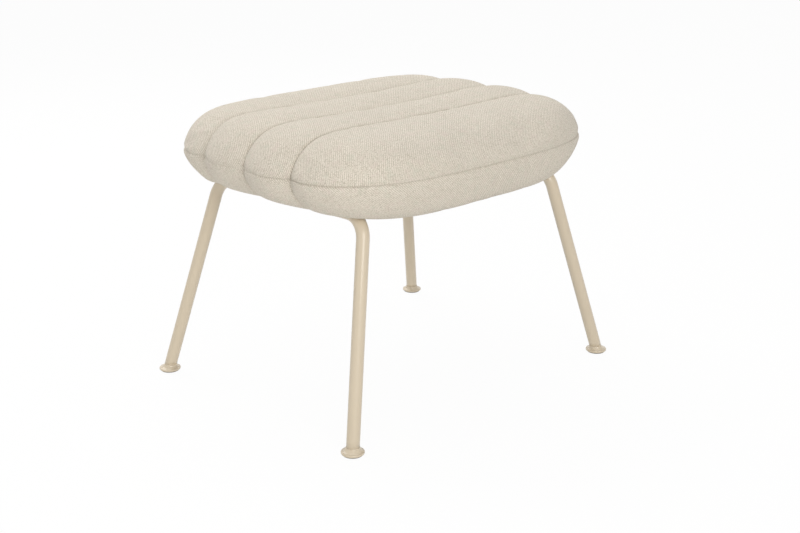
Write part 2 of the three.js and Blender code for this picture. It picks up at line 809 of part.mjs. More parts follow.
// Channels are counted from -Y to +Y. End a is at -X and end b is at +X.
const topGrids = [outerTopGrid(-1), innerTopGrid(-1), innerTopGrid(1), outerTopGrid(1)];
topGrids.forEach((grid, i) => {
  const inner = grid.map((row) => row.map((point) => insetTop(point, coverThickness)));
  addFabric(`cover_top_${i + 1}`, closedSheet(grid, inner));
  addFoam(`channel_foam_${i + 1}`, channelFoam(grid));
});
addFabric('cover_side_1', lowerPanel(sidePlaces(-1, clearance)));
addFabric('cover_side_4', lowerPanel(sidePlaces(1, clearance)));
addFabric('cover_end_a2', lowerPanel(endPlaces(-1, -1, clearance)));
addFabric('cover_end_a3', lowerPanel(endPlaces(-1, 1, clearance)));
addFabric('cover_end_b2', lowerPanel(endPlaces(1, -1, clearance)));
addFabric('cover_end_b3', lowerPanel(endPlaces(1, 1, clearance)));
addFoam('foam_base', foamBase());
add('seat_board', seatBoard(), plywoodColour, 0.7, 0);
add('dust_cover', dustCover(), dustCoverColour, 0.95, 0);

add('leg_hoop_a', legHoop(-1), steelColour, 0.45, 0);
add('leg_hoop_b', legHoop(1), steelColour, 0.45, 0);

const footNames = ['a1', 'a4', 'b1', 'b4'];
const footPoint = legPoint(discTop);
let foot = 0;
for (const signX of endSigns) {
  for (const signY of endSigns) {
    const place = new THREE.Vector3(signX * footPoint.x, signY * footPoint.y, 0);
    add(`glide_${footNames[foot]}`, glide(), glideColour, 0.6, 0, place);
    const discPlace = place.clone().setZ(discBottom);
    add(`foot_disc_${footNames[foot]}`, footDisc(), steelColour, 0.45, 0, discPlace);
    foot += 1;
  }
}

plateCentres.forEach((centre, i) => {
  const place = new THREE.Vector3(centre.x, centre.y, plateBottom);
  add(`mounting_plate_${footNames[i]}`, mountingPlate(), steelColour, 0.45, 0, place);
});
screwCentres.forEach((centre, i) => {
  const seat = new THREE.Vector3(centre.x, centre.y, plateBottom - clearance);
  add(`screw_${i + 1}`, screw(), zincColour, 0.35, 1, seat);
  add(`tee_nut_${i + 1}`, teeNut(), zincColour, 0.35, 1, seat.clone().setZ(boardTop));
});

export default stool;
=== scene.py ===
# %% [markdown]
# # A channelled footstool on two bent tube hoops
# The real piece is a low footstool: a plump cushion, sewn in four channels, on two steel
# tubes that are bent into hoops and coated cream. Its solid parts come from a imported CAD
# model, the frame. This lesson dresses that frame: it makes the soft parts and the finer
# hardware, gives every surface its finish, and sets up the floor, the light and the camera.

# %% The frame
import math

import bmesh
import bpy
import numpy as np
from mathutils import Matrix, Vector, noise


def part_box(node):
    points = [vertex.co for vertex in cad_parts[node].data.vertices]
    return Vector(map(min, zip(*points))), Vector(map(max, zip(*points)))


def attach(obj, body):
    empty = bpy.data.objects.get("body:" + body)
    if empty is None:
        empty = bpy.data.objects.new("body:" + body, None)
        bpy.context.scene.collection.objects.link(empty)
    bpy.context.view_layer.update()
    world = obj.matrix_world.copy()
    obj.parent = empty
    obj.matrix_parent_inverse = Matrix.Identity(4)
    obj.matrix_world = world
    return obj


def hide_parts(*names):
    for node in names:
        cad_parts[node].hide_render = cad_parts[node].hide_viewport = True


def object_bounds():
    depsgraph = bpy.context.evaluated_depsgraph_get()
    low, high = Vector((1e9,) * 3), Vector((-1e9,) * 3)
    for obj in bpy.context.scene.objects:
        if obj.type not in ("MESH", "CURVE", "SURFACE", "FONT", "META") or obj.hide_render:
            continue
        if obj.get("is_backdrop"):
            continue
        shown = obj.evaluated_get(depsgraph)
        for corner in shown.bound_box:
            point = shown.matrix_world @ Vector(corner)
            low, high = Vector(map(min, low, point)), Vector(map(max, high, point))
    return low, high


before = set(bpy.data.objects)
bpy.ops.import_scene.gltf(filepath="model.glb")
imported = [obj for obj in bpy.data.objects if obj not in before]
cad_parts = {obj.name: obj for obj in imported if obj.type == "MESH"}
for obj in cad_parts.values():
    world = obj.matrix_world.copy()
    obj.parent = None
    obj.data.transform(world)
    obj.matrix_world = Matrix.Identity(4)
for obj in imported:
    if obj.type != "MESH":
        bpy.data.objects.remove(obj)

scene = bpy.context.scene
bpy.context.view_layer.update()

# %% [markdown]
# ## The camera
# The photograph was taken from a little above the stool, about 0.8 m over the floor, with a
# slightly long lens. Place, heading and tilt come from the stool's feet and legs, whose
# spacing is known. The camera comes first so that every later piece can be judged through
# it.

# %% The camera
camera_data = bpy.data.cameras.new("camera")
camera_data.sensor_width = 36
camera_data.lens = 59.73
camera = bpy.data.objects.new("camera", camera_data)
scene.collection.objects.link(camera)
camera.location = (-1.3901, -1.4343, 0.8116)
heading, tilt = math.radians(44.718), math.radians(18.09)
forward = Vector((math.sin(heading), math.cos(heading), -math.tan(tilt)))
camera.rotation_mode = "QUATERNION"
camera.rotation_quaternion = forward.to_track_quat("-Z", "Y")
scene.camera = camera
print("camera:", round(camera_data.lens, 1), "mm lens")

# %% [markdown]
# ## Sizes
# Everything is in metres and in the frame's own coordinates: the floor is at zero, the
# long side runs along X and each hoop stands under one end. The sizes below are those of
# the frame, so that each new piece lands exactly where its solid is.

# %% Sizes of the cushion
MM = 0.001
half_length, half_width = 293 * MM, 232.6 * MM  # of the cushion's outline
channel = 94.9 * MM  # width of an inner channel
seam_z = 367.3 * MM  # the seam round the middle
top_rise = 62.2 * MM
roll_bottom = 320.3 * MM  # lowest line of the cover, at the ends
side_sag = 13.4 * MM  # how much lower it hangs in the middle of a long side
hem_z = 326.1 * MM  # underside of the stapled hem
seam_tuck = 2.9 * MM
valley_at_ends, valley_at_middle = 1.2 * MM, 13.1 * MM
print("cushion:", round(2 * half_length, 3), "by", round(2 * half_width, 3), "m")

# %% How its curves bend, and what use has done to it
outline_power = 3.29  # the higher, the squarer, seen from above
crown_end_power, crown_end_root = 8.79, 1.2  # how the top rises from its ends
crown_side_power, crown_side_root = 4.1, 2.03  # and from its sides
sag_power, roll_power = 5.6, 1.6
settled = 3.0 * MM  # how far use has pressed the two inner channels down
use_power = 1.5  # the higher, the more the marks of use keep to the middle
lifted, lifted_width = 2 * MM, 30 * MM  # how much higher the seam nearest -Y lies, and how wide
# Each seam bows along Y in the middle of the top. The first and last places are the sides.
bow_places = (-half_width, -channel, 0, channel, half_width)
bows = (0, 3 * MM, -5 * MM, -4 * MM, 0)
print("pressed down by up to", round(settled / MM, 1), "mm, bowed by", round(-bows[2] / MM, 1))

# %% Outlines seen from above: half length, half width, and how far the seams draw the end in
rim_outline = (half_length, half_width, 14.4 * MM)
low_outline = (247 * MM, 201 * MM, 11.5 * MM)
hem_start_outline = (235 * MM, 189 * MM, 5.8 * MM)
hem_end_outline = (226 * MM, 180 * MM, 0)
print("from the rim in to the hem:", round((rim_outline[0] - hem_end_outline[0]) / MM), "mm")

# %% Sizes of the hoops and the hardware
tube_radius, tube_wall, bend_radius = 9.5 * MM, 1.5 * MM, 36 * MM
run_z = 311.9 * MM
foot_x, foot_y, run_x = 274.1 * MM, 214.7 * MM, 197.2 * MM
lean_x, lean_y = (foot_x - run_x) / run_z, math.tan(math.radians(10.02))
disc_top = 5.4 * MM
leg_bottom = 5.7 * MM
plate_bottom, plate_top = 321.7 * MM, 324.7 * MM
plate_y = 75 * MM
dust_bottom, dust_thickness = 325 * MM, 0.8 * MM
screw_x = 17.5 * MM  # from the run's middle to a screw
signs = (-1, 1)
corners = [(sx, sy) for sx in signs for sy in signs]
corner_names = ("a1", "a4", "b1", "b4")
print("tube:", round(2 * tube_radius, 4), "m")

# %% [markdown]
# ## Helpers for materials
# A finish is a small tree of nodes. These helpers add a node, feed its inputs and return
# what it puts out, so that a material reads like a recipe. Colours are written as they
# look on a screen, from 0 to 255, and turned into the linear values that light works with.

# %% Helpers for materials
def paint(red, green, blue):
    linear = [((c / 255 + 0.055) / 1.055) ** 2.4 for c in (red, green, blue)]
    return (*linear, 1)


class Wiring:
    """Adds nodes to one tree and joins them up."""

    def __init__(self, tree):
        self.tree = tree

    def feed(self, socket, value):
        if isinstance(value, bpy.types.NodeSocket):
            self.tree.links.new(value, socket)
        else:
            socket.default_value = value

    def add(self, kind, inputs=None, **settings):
        node = self.tree.nodes.new("ShaderNode" + kind)
        for key, value in settings.items():
            setattr(node, key, value)
        for key, value in (inputs or {}).items():
            self.feed(node.inputs[key], value)
        return node

    def math(self, operation, *values, clamp=False):
        node = self.add("Math", dict(enumerate(values)), operation=operation)
        node.use_clamp = clamp
        return node.outputs[0]

    def vector(self, operation, *values):
        node = self.add("VectorMath", dict(enumerate(values)), operation=operation)
        return node.outputs[0]

    def mix(self, share, a, b):
        """A colour between colours a and b."""
        node = self.add("Mix", {0: share, 6: a, 7: b}, data_type="RGBA")
        return node.outputs[2]

    def between(self, share, a, b):
        """A value between values a and b."""
        return self.add("Mix", {0: share, 2: a, 3: b}, data_type="FLOAT").outputs[0]

    def noise(self, place, scale, detail=2, roughness=0.5):
        inputs = {"Vector": place, "Scale": scale, "Detail": detail, "Roughness": roughness}
        return self.add("TexNoise", inputs).outputs[0]

    def step(self, value, low, high):
        """0 below low and 1 above high, with a smooth rise between."""
        node = self.add("MapRange", interpolation_type="SMOOTHSTEP")
        self.feed(node.inputs["Value"], value)
        self.feed(node.inputs["From Min"], low)
        self.feed(node.inputs["From Max"], high)
        return node.outputs[0]


# %% Helpers for shared effects and new finishes
def new_effect(name, inputs, outputs):
    """A node group with named inputs and outputs. Returns the group, its wiring and its ends."""
    group = bpy.data.node_groups.new(name, "ShaderNodeTree")
    for label, kind, value in inputs:
        socket = group.interface.new_socket(label, in_out="INPUT", socket_type=kind)
        if value is not None:
            socket.default_value = value
    for label, kind in outputs:
        group.interface.new_socket(label, in_out="OUTPUT", socket_type=kind)
    given = group.nodes.new("NodeGroupInput").outputs
    result = group.nodes.new("NodeGroupOutput").inputs
    return group, Wiring(group), given, result


def place_effect(wiring, group, **inputs):
    node = wiring.tree.nodes.new("ShaderNodeGroup")
    node.node_tree = group
    for key, value in inputs.items():
        wiring.feed(node.inputs[key.replace("_", " ").capitalize()], value)
    return node.outputs


def new_finish(name):
    """A material with its shader. Returns the material, its wiring and the shader."""
    material = bpy.data.materials.new(name)
    material.use_nodes = True
    wiring = Wiring(material.node_tree)
    return material, wiring, material.node_tree.nodes["Principled BSDF"]


# %% [markdown]
# ## Effects that several finishes share
# Two effects come back in almost every finish. The first is a faint cloudiness: no real
# surface has one even colour, so each finish drifts a little lighter and darker. The
# second is a fine speckle, which gives yarn, foam and moulded plastic their grain. Both
# are groups with their own inputs, and each finish places them with its own values. Three
# helpers then do what nearly every finish needs: they give the place on the piece, cloud
# its colour and turn a height into fine relief.

# %% The cloudiness effect
VECTOR, VALUE, COLOUR = "NodeSocketVector", "NodeSocketFloat", "NodeSocketColor"
cloudiness, tree, given, result = new_effect(
    "cloudiness",
    [
        ("Place", VECTOR, None),
        ("Size", VALUE, 0.08),
        ("Depth", VALUE, 0.06),
        ("Colour", COLOUR, None),
    ],
    [("Colour", COLOUR)],
)
scale = tree.math("DIVIDE", 1, given["Size"])
drift = tree.noise(given["Place"], scale, detail=3, roughness=0.55)
swing = tree.math("MULTIPLY", tree.math("SUBTRACT", drift, 0.5), given["Depth"])
level = tree.math("ADD", 1, tree.math("MULTIPLY", swing, 2))
shaded = tree.vector("SCALE", given["Colour"])
tree.feed(shaded.node.inputs["Scale"], level)
tree.feed(result["Colour"], shaded)
print("effect:", cloudiness.name)

# %% The speckle effect
speckle, tree, given, result = new_effect(
    "speckle",
    [("Place", VECTOR, None), ("Size", VALUE, 0.001), ("Amount", VALUE, 0.5)],
    [("Mask", VALUE), ("Height", VALUE)],
)
scale = tree.math("DIVIDE", 1, given["Size"])
grain = tree.noise(given["Place"], scale, detail=1)
edge = tree.between(given["Amount"], 0.72, 0.38)
tree.feed(result["Mask"], tree.step(grain, edge, tree.math("ADD", edge, 0.08)))
tree.feed(result["Height"], grain)
print("effect:", speckle.name)

# %% Clouding a colour and denting a surface
def cloud(tree, shader, place, size, depth, colour):
    """Gives the shader a colour that drifts a little, in clouds of this size."""
    clouded = place_effect(tree, cloudiness, place=place, size=size, depth=depth, colour=colour)
    tree.feed(shader.inputs["Base Color"], clouded[0])


def dent(tree, shader, height, strength):
    """Turns a height in metres into fine relief."""
    bump = tree.add("Bump", {"Height": height, "Strength": strength, "Distance": 1.0})
    tree.feed(shader.inputs["Normal"], bump.outputs[0])


def object_place(tree):
    return tree.add("TexCoord").outputs["Object"]


# %% [markdown]
# ## The upholstery cloth
# The cover is a heathered twill: soft yarns, a little less than a millimetre apart,
# that pass over two and under two, so that fine ribs run across the cloth at a slant. The
# yarns one way are a shade darker, and all are flecked with beige and grey. The weave is
# worked out from the cloth's own flat coordinates, in metres, so the yarns follow the
# cushion as real ones do. A second set of values, stored on the mesh, says how far each
# point is from a seam; the cloth is dented there and darkened with painted shade.

# %% Yarns of the twill
upholstery, tree, shader = new_finish("upholstery")
yarn_pitch = 0.95 * MM
flat = tree.add("UVMap", uv_map="cloth").outputs[0]
yarn_drift = 1.1 * MM  # how far a yarn wanders from its straight line
flattened = 0.62  # height of a yarn where another crosses over it
wobble = tree.add("TexNoise", {"Vector": flat, "Scale": 90, "Detail": 1}).outputs[1]
wobble = tree.vector("SUBTRACT", wobble, (0.5, 0.5, 0.5))
wobble = tree.vector("MULTIPLY", wobble, (yarn_drift, yarn_drift, 0))
counted = tree.vector("DIVIDE", tree.vector("ADD", flat, wobble), (yarn_pitch, yarn_pitch, 1))
split = tree.add("SeparateXYZ", {0: counted})
across, along = split.outputs[0], split.outputs[1]
warp_number, weft_number = tree.math("FLOOR", across), tree.math("FLOOR", along)
warp_round = tree.math("SINE", tree.math("MULTIPLY", tree.math("FRACT", across), math.pi))
weft_round = tree.math("SINE", tree.math("MULTIPLY", tree.math("FRACT", along), math.pi))
slant = tree.math("SUBTRACT", warp_number, weft_number)
turn = tree.math("FLOORED_MODULO", slant, 4)
warp_on_top = tree.math("LESS_THAN", turn, 1.5)
warp_height = tree.math("MULTIPLY", warp_round, tree.between(weft_round, flattened, 1.0))
weft_height = tree.math("MULTIPLY", weft_round, tree.between(warp_round, flattened, 1.0))
yarn_height = tree.between(warp_on_top, weft_height, warp_height)
print("yarns:", round(1 / (yarn_pitch / MM), 2), "per millimetre")

# %% Colours of the yarns
streak = 0.75  # the lower, the longer a fleck is along its yarn
jump = 3.7  # takes each yarn to a stretch of noise of its own
apart = 31.0  # and keeps the yarns one way apart from those the other way
warp_jump, weft_jump = (tree.math("MULTIPLY", n, jump) for n in (warp_number, weft_number))
warp_run, weft_run = (tree.math("MULTIPLY", n, streak) for n in (along, across))
warp_place = tree.add("CombineXYZ", {0: warp_jump, 1: warp_run}).outputs[0]
weft_place = tree.add("CombineXYZ", {0: weft_run, 1: weft_jump, 2: apart}).outputs[0]
yarn_places = {0: warp_on_top, 4: weft_place, 5: warp_place}
yarn_place = tree.add("Mix", yarn_places, data_type="VECTOR").outputs[1]
fleck = tree.noise(yarn_place, 1.3, detail=1, roughness=0.5)
tint = tree.noise(flat, 75, detail=2, roughness=0.6)
pale, dull, dark, light = (
    paint(238, 230, 218), paint(209, 200, 184), paint(184, 174, 156), paint(238, 232, 222)
)
yarn = tree.mix(warp_on_top, dull, pale)
yarn = tree.mix(tree.step(fleck, 0.32, 0.50), dark, yarn)
yarn = tree.mix(tree.step(fleck, 0.60, 0.74), yarn, light)
tint_share, gap_share = 0.28, 0.36  # how strong the tints and the shade between yarns are
pinkish = tree.math("MULTIPLY", tree.step(tint, 0.54, 0.68), tint_share)
greenish = tree.math("MULTIPLY", tree.step(tint, 0.46, 0.32), tint_share)
yarn = tree.mix(pinkish, yarn, paint(222, 205, 196))
yarn = tree.mix(greenish, yarn, paint(204, 205, 188))
between_yarns = tree.math("MULTIPLY", tree.step(yarn_height, 0.60, 0.10), gap_share)
yarn = tree.mix(between_yarns, yarn, paint(160, 149, 130))
cloudy = place_effect(tree, cloudiness, place=flat, size=0.09, depth=0.035, colour=yarn)[0]
print("weave: 4 colours of yarn and 2 tints")

# %% Seams and stitches in the cloth's colour, with painted shade along them
seam_distance, seam_run, seam_strength = (
    tree.add("Attribute", attribute_name=name).outputs["Fac"]
    for name in ("seam_distance", "seam_run", "seam_strength")
)
# The dark seam line is painted shade of the seam's groove, dashed at the stitches.
seam_line = tree.math("MULTIPLY", tree.step(seam_distance, 1.4 * MM, 0.3 * MM), seam_strength)
stitch_pitch = 5.5 * MM
beat = tree.math("MULTIPLY", seam_run, 2 * math.pi / stitch_pitch)
stitch = tree.between(0.5, 1, tree.math("SINE", beat))
dash = tree.between(tree.math("MULTIPLY", stitch, 1, clamp=True), 0.55, 1.0)
stitched = tree.math("MULTIPLY", seam_line, dash)
# Painted shade in the soft valley beside each seam, stronger where the cloth faces up.
facing = tree.add("SeparateXYZ", {0: tree.add("NewGeometry").outputs["Normal"]}).outputs[2]
level = tree.math("POWER", tree.math("MAXIMUM", facing, 0), 2)
painted_valley_shade = tree.math("MULTIPLY", tree.step(seam_distance, 8 * MM, 0), level)
valley_shade, seam_shade = 0.18, 0.42
shaded = tree.mix(tree.math("MULTIPLY", painted_valley_shade, valley_shade), cloudy, paint(160, 149, 131))
seamed = tree.mix(tree.math("MULTIPLY", stitched, seam_shade), shaded, paint(128, 112, 92))
tree.feed(shader.inputs["Base Color"], seamed)
print("stitches:", round(stitch_pitch / MM, 1), "mm apart")

# %% Yarns, puckers and stitches in its relief
pucker_run = tree.math("DIVIDE", seam_run, 6.5 * MM)
pucker_way = tree.math("DIVIDE", seam_distance, 26 * MM)
pucker_place = tree.add("CombineXYZ", {0: pucker_run, 1: pucker_way}).outputs[0]
pucker = tree.math("SUBTRACT", tree.noise(pucker_place, 1, detail=1), 0.5)
near_seam = tree.step(seam_distance, 13 * MM, 0.5 * MM)
fuzz = place_effect(tree, speckle, place=flat, size=0.6 * MM, amount=0.5)
heights = [
    tree.math("MULTIPLY", yarn_height, 0.42 * MM),
    tree.math("MULTIPLY", fuzz["Height"], 0.22 * MM),
    tree.math("MULTIPLY", tree.math("MULTIPLY", pucker, near_seam), 1.5 * MM),
    tree.math("MULTIPLY", stitched, -0.7 * MM),
]
relief = heights[0]
for height in heights[1:]:
    relief = tree.math("ADD", relief, height)
dent(tree, shader, relief, 0.6)
tree.feed(shader.inputs["Roughness"], tree.between(yarn_height, 0.98, 0.86))
shader.inputs["Specular IOR Level"].default_value = 0.25
shader.inputs["Sheen Weight"].default_value = 0.12
shader.inputs["Sheen Roughness"].default_value = 0.5
print("finish:", upholstery.name)

# %% [markdown]
# ## The cream coating on the steel
# The hoops, feet and plates are sprayed with a satin powder coating after welding. Such a
# coating is never quite flat: it has a fine ripple, like orange peel, and it drifts a
# little in gloss. A clear, even highlight with a soft edge is what tells it from plastic.

# %% The coating
coated_steel, tree, shader = new_finish("coated_steel")
place = object_place(tree)
cloud(tree, shader, place, 0.06, 0.02, paint(207, 193, 170))
peel = tree.noise(place, 420, detail=2)
gloss = tree.noise(place, 35, detail=2)
tree.feed(shader.inputs["Roughness"], tree.between(gloss, 0.26, 0.36))
dent(tree, shader, tree.math("MULTIPLY", peel, 0.10 * MM), 0.6)
shader.inputs["Specular IOR Level"].default_value = 0.35
shader.inputs["Coat Weight"].default_value = 0.4
shader.inputs["Coat Roughness"].default_value = 0.10
print("finish:", coated_steel.name)

# %% [markdown]
# ## Finishes of the hidden and small parts
# Foam, plywood, the dust cloth, zinc plating and the nylon glides are seen only from below
# or when the stool is taken apart, but each still has its own grain.

# %% Foam
foam, tree, shader = new_finish("foam")
place = object_place(tree)
cells = place_effect(tree, speckle, place=place, size=1.1 * MM, amount=0.45)
body = tree.mix(cells["Mask"], paint(238, 230, 205), paint(214, 203, 172))
cloud(tree, shader, place, 0.1, 0.04, body)
dent(tree, shader, tree.math("MULTIPLY", cells["Height"], 0.8 * MM), 0.8)
shader.inputs["Roughness"].default_value = 0.92
print("finish:", foam.name)

# %% Plywood
plywood, tree, shader = new_finish("plywood")
place = object_place(tree)
stretched = tree.vector("MULTIPLY", place, (6.0, 90.0, 90.0))
grain = tree.noise(stretched, 1.0, detail=5, roughness=0.65)
wood = tree.mix(tree.step(grain, 0.35, 0.65), paint(176, 140, 96), paint(214, 184, 142))
height = tree.add("SeparateXYZ", {0: place}).outputs[2]
two_plies = 2.4 * MM  # a dark and a light one
ply = tree.math("FRACT", tree.math("DIVIDE", height, two_plies))
facing = tree.add("SeparateXYZ", {0: tree.add("NewGeometry").outputs["Normal"]}).outputs[2]
on_edge = tree.step(tree.math("ABSOLUTE", facing), 0.6, 0.3)
dark_ply = tree.math("MULTIPLY", tree.math("LESS_THAN", ply, 0.5), on_edge)
wood = tree.mix(tree.math("MULTIPLY", dark_ply, 0.5), wood, paint(120, 88, 56))
cloud(tree, shader, place, 0.12, 0.05, wood)
dent(tree, shader, tree.math("MULTIPLY", grain, 0.2 * MM), 0.6)
shader.inputs["Roughness"].default_value = 0.68
print("finish:", plywood.name)

# %% Dust cloth
dust_cloth, tree, shader = new_finish("dust_cloth")
place = object_place(tree)
dimple_pitch = 1.7 * MM
counted = tree.vector("DIVIDE", place, (dimple_pitch, dimple_pitch, 1.0))
dimple = tree.add("TexVoronoi", {"Vector": counted, "Scale": 1.0, "Randomness": 0.12}, feature="F1")
hot_pressed = tree.step(dimple.outputs["Distance"], 0.30, 0.16)
fibre_place = tree.vector("MULTIPLY", place, (1.0, 0.25, 1.0))
fibres = place_effect(tree, speckle, place=fibre_place, size=0.7 * MM, amount=0.5)
black = tree.mix(fibres["Mask"], paint(44, 43, 42), paint(62, 60, 58))
black = tree.mix(tree.math("MULTIPLY", hot_pressed, 0.6), black, paint(28, 27, 27))
cloud(tree, shader, place, 0.07, 0.08, black)
raised = tree.math("MULTIPLY", fibres["Height"], 0.15 * MM)
sunk = tree.math("MULTIPLY", hot_pressed, 0.12 * MM)
dent(tree, shader, tree.math("SUBTRACT", raised, sunk), 0.8)
shader.inputs["Roughness"].default_value = 0.9
print("finish:", dust_cloth.name)

# %% Zinc plating
zinc, tree, shader = new_finish("zinc")
place = object_place(tree)
spangle = tree.noise(place, 260, detail=3)
plated = tree.mix(tree.step(spangle, 0.42, 0.62), paint(176, 180, 186), paint(205, 207, 208))
cloud(tree, shader, place, 0.004, 0.05, plated)
tree.feed(shader.inputs["Roughness"], tree.between(spangle, 0.26, 0.44))
dent(tree, shader, tree.math("MULTIPLY", spangle, 0.04 * MM), 0.5)
shader.inputs["Metallic"].default_value = 1
print("finish:", zinc.name)

# %% Nylon of the glides
glide_nylon, tree, shader = new_finish("glide")
place = object_place(tree)
pits = place_effect(tree, speckle, place=place, size=0.5 * MM, amount=0.35)
pitted = tree.math("MULTIPLY", pits["Mask"], 0.3)
grey = tree.mix(pitted, paint(141, 132, 120), paint(122, 114, 103))
cloud(tree, shader, place, 0.02, 0.05, grey)
dent(tree, shader, tree.math("MULTIPLY", pits["Height"], 0.05 * MM), 0.5)
shader.inputs["Roughness"].default_value = 0.55
print("finishes:", len(bpy.data.materials))

# %% [markdown]
# ## The form of the cushion
# Seen from above the cushion is a rectangle with very round corners. Its top rises steeply
# from the seam round the middle and is almost flat in the middle, and each channel seam
# pulls a valley into it and draws its ends in. Below the seam the cover rolls under to a
# smaller outline and ends in a hem that is stapled to the board. The functions below give
# that form for any place, so the mesh can be as fine as the sewing needs.

# %% Outlines seen from above
def fullness(y):
    """0 on a channel seam and 1 on the crest of a channel."""
    across = np.abs(y)
    from_seam = np.minimum(across, np.abs(across - channel))
    return 1 - (1 - np.minimum(from_seam / (channel / 2), 1)) ** 2


def reach(y, outline):
    """Half length of an outline at a distance y from the middle."""
    length, width, tuck = outline
    share = np.minimum(np.abs(y) / width, 1)
    rounded = length * (1 - share**outline_power) ** (1 / outline_power)
    return rounded - tuck * (1 - fullness(y))


def side_rim(outline):
    """The outline's +Y side from the outer seam at +X to that at -X: shares, X and Y."""
    length, width, tuck = outline
    start = math.asin((channel / width) ** (outline_power / 2))
    angle = np.linspace(start, math.pi - start, 4001)
    side = np.sign(np.cos(angle))
    x = side * length * np.abs(np.cos(angle)) ** (2 / outline_power)
    y = width * np.sin(angle) ** (2 / outline_power)
    x = x - side * tuck * (1 - fullness(y))
    gone = np.concatenate([[0], np.cumsum(np.hypot(np.diff(x), np.diff(y)))])
    return gone / gone[-1], x, y


outlines = (rim_outline, low_outline, hem_start_outline, hem_end_outline)
rims = {outline: side_rim(outline) for outline in outlines}
print("outlines:", len(rims))


def rim_place(outline, share):
    shares, x, y = rims[outline]
    return np.array([np.interp(share, shares, x), np.interp(share, shares, y)])


# %% The top surface and the roll below the seam
def end_share(x, y):
    """0 half way along the cushion and 1 at its ends."""
    return np.minimum(np.abs(x) / np.maximum(reach(y, rim_outline), MM), 1)


def middle_share(x, y):
    """1 half way along the cushion and 0 at its ends."""
    return 1 - end_share(x, y) ** 2


def crown(x, y):
    """0 on the seam round the middle and 1 on the middle of the top."""
    across = np.minimum(np.abs(y) / half_width, 1)
    from_ends = (1 - end_share(x, y) ** crown_end_power) ** (1 / crown_end_root)
    return from_ends * (1 - across**crown_side_power) ** (1 / crown_side_root)


def pressed(x, y):
    """How far use has pressed the top down here."""
    inner = np.where(np.abs(y) < channel, settled, 0)
    return crown(x, y) * (inner * fullness(y) * middle_share(x, y) ** use_power)


def bowed(x, y):
    """How far the seams' bows carry this place along Y."""
    return np.interp(y, bow_places, bows) * middle_share(x, y) ** use_power


def top_height(x, y):
    share = middle_share(x, y)
    depth = valley_at_ends + (valley_at_middle - valley_at_ends) * share
    depth = depth - lifted * share * np.exp(-(((y + channel) / lifted_width) ** 2))
    return seam_z + crown(x, y) * (top_rise - (1 - fullness(y)) * depth) - pressed(x, y)


def lowest_height(x):
    """Height of the lowest line, which hangs lower along the sides than at the ends."""
    share = np.minimum(np.abs(x) / low_outline[0], 1)
    return roll_bottom - side_sag * (1 - share**sag_power)


def roll_height(share, lowest):
    """Height of the lower cover at a share of its way in to the lowest line."""
    drop = (1 - (1 - share) ** roll_power) ** (1 / roll_power)
    return seam_z - drop * (seam_z - lowest)


# %% [markdown]
# ## A grid that fits the cushion
# The cover starts as a flat grid. Its columns are laid out so that the three channel seams
# fall exactly on columns, with narrow columns beside each seam, and its outer edge becomes
# the seam round the middle. Each outer channel is filled in between four curves, its seam,
# its side and its two ends, which is known as a Coons patch.

# %% Steps of the grid
def eased(count, bunching):
    """Shares from 0 to 1 with short steps at both ends."""
    t = np.linspace(0, 1, count + 1)
    return t - bunching * np.sin(2 * math.pi * t) / (2 * math.pi)


def even_by_length(values, heights, shares):
    """Values that lie at these shares of the length of a curve."""
    steps = np.hypot(np.diff(values), np.diff(heights))
    gone = np.concatenate([[0], np.cumsum(steps)])
    return np.interp(shares * gone[-1], gone, values)


rows, inner_columns, outer_columns = 100, 18, 24
row_bunching, column_bunching = 0.5, 0.6
crest = channel / 2
xs = np.linspace(-1, 1, 4001)
profile = top_height(xs * reach(crest, rim_outline), crest)
row_shares = even_by_length(xs * half_length, profile, eased(rows, row_bunching)) / half_length
ys = np.linspace(channel, half_width, 4001)
side_profile = top_height(0 * ys, ys)
outer_ys = even_by_length(ys, side_profile, eased(outer_columns, column_bunching))
outer_shares = (outer_ys - channel) / (half_width - channel)
inner_shares = eased(inner_columns, column_bunching)
columns = 2 * (inner_columns + outer_columns)
print("grid:", rows, "by", columns)


# %% The outer channel, filled in between its four sides
shares, x, y = rims[rim_outline]
corner_share = float(shares[np.argmax(x / half_length < y / half_width)])
print("corner at", round(corner_share, 3), "of the way round a side")


def outer_place(row, column):
    """Place on the +Y outer channel, and its share round the rim."""
    u0, v0 = 2 * row / rows - 1, column / outer_columns
    u = row_shares[row] + (u0 - row_shares[row]) * v0**3
    v = outer_shares[column] + (v0 - outer_shares[column]) * abs(row_shares[row]) ** 3
    seam_reach = float(reach(channel, rim_outline))
    bottom = np.array([u * seam_reach, channel])
    side_share = corner_share + (1 - u) / 2 * (1 - 2 * corner_share)
    side = rim_place(rim_outline, side_share)
    right_share, left_share = v * corner_share, 1 - v * corner_share
    right, left = rim_place(rim_outline, right_share), rim_place(rim_outline, left_share)
    seam_right, seam_left = np.array([seam_reach, channel]), np.array([-seam_reach, channel])
    side_right = rim_place(rim_outline, corner_share)
    side_left = rim_place(rim_outline, 1 - corner_share)
    to_right, to_left = (1 + u) / 2, (1 - u) / 2
    ruled = (1 - v) * bottom + v * side + to_right * right + to_left * left
    ruled = ruled - (1 - v) * (to_right * seam_right + to_left * seam_left)
    ruled = ruled - v * (to_right * side_right + to_left * side_left)
    return ruled, {rows: right_share, 0: left_share}.get(row, side_share)


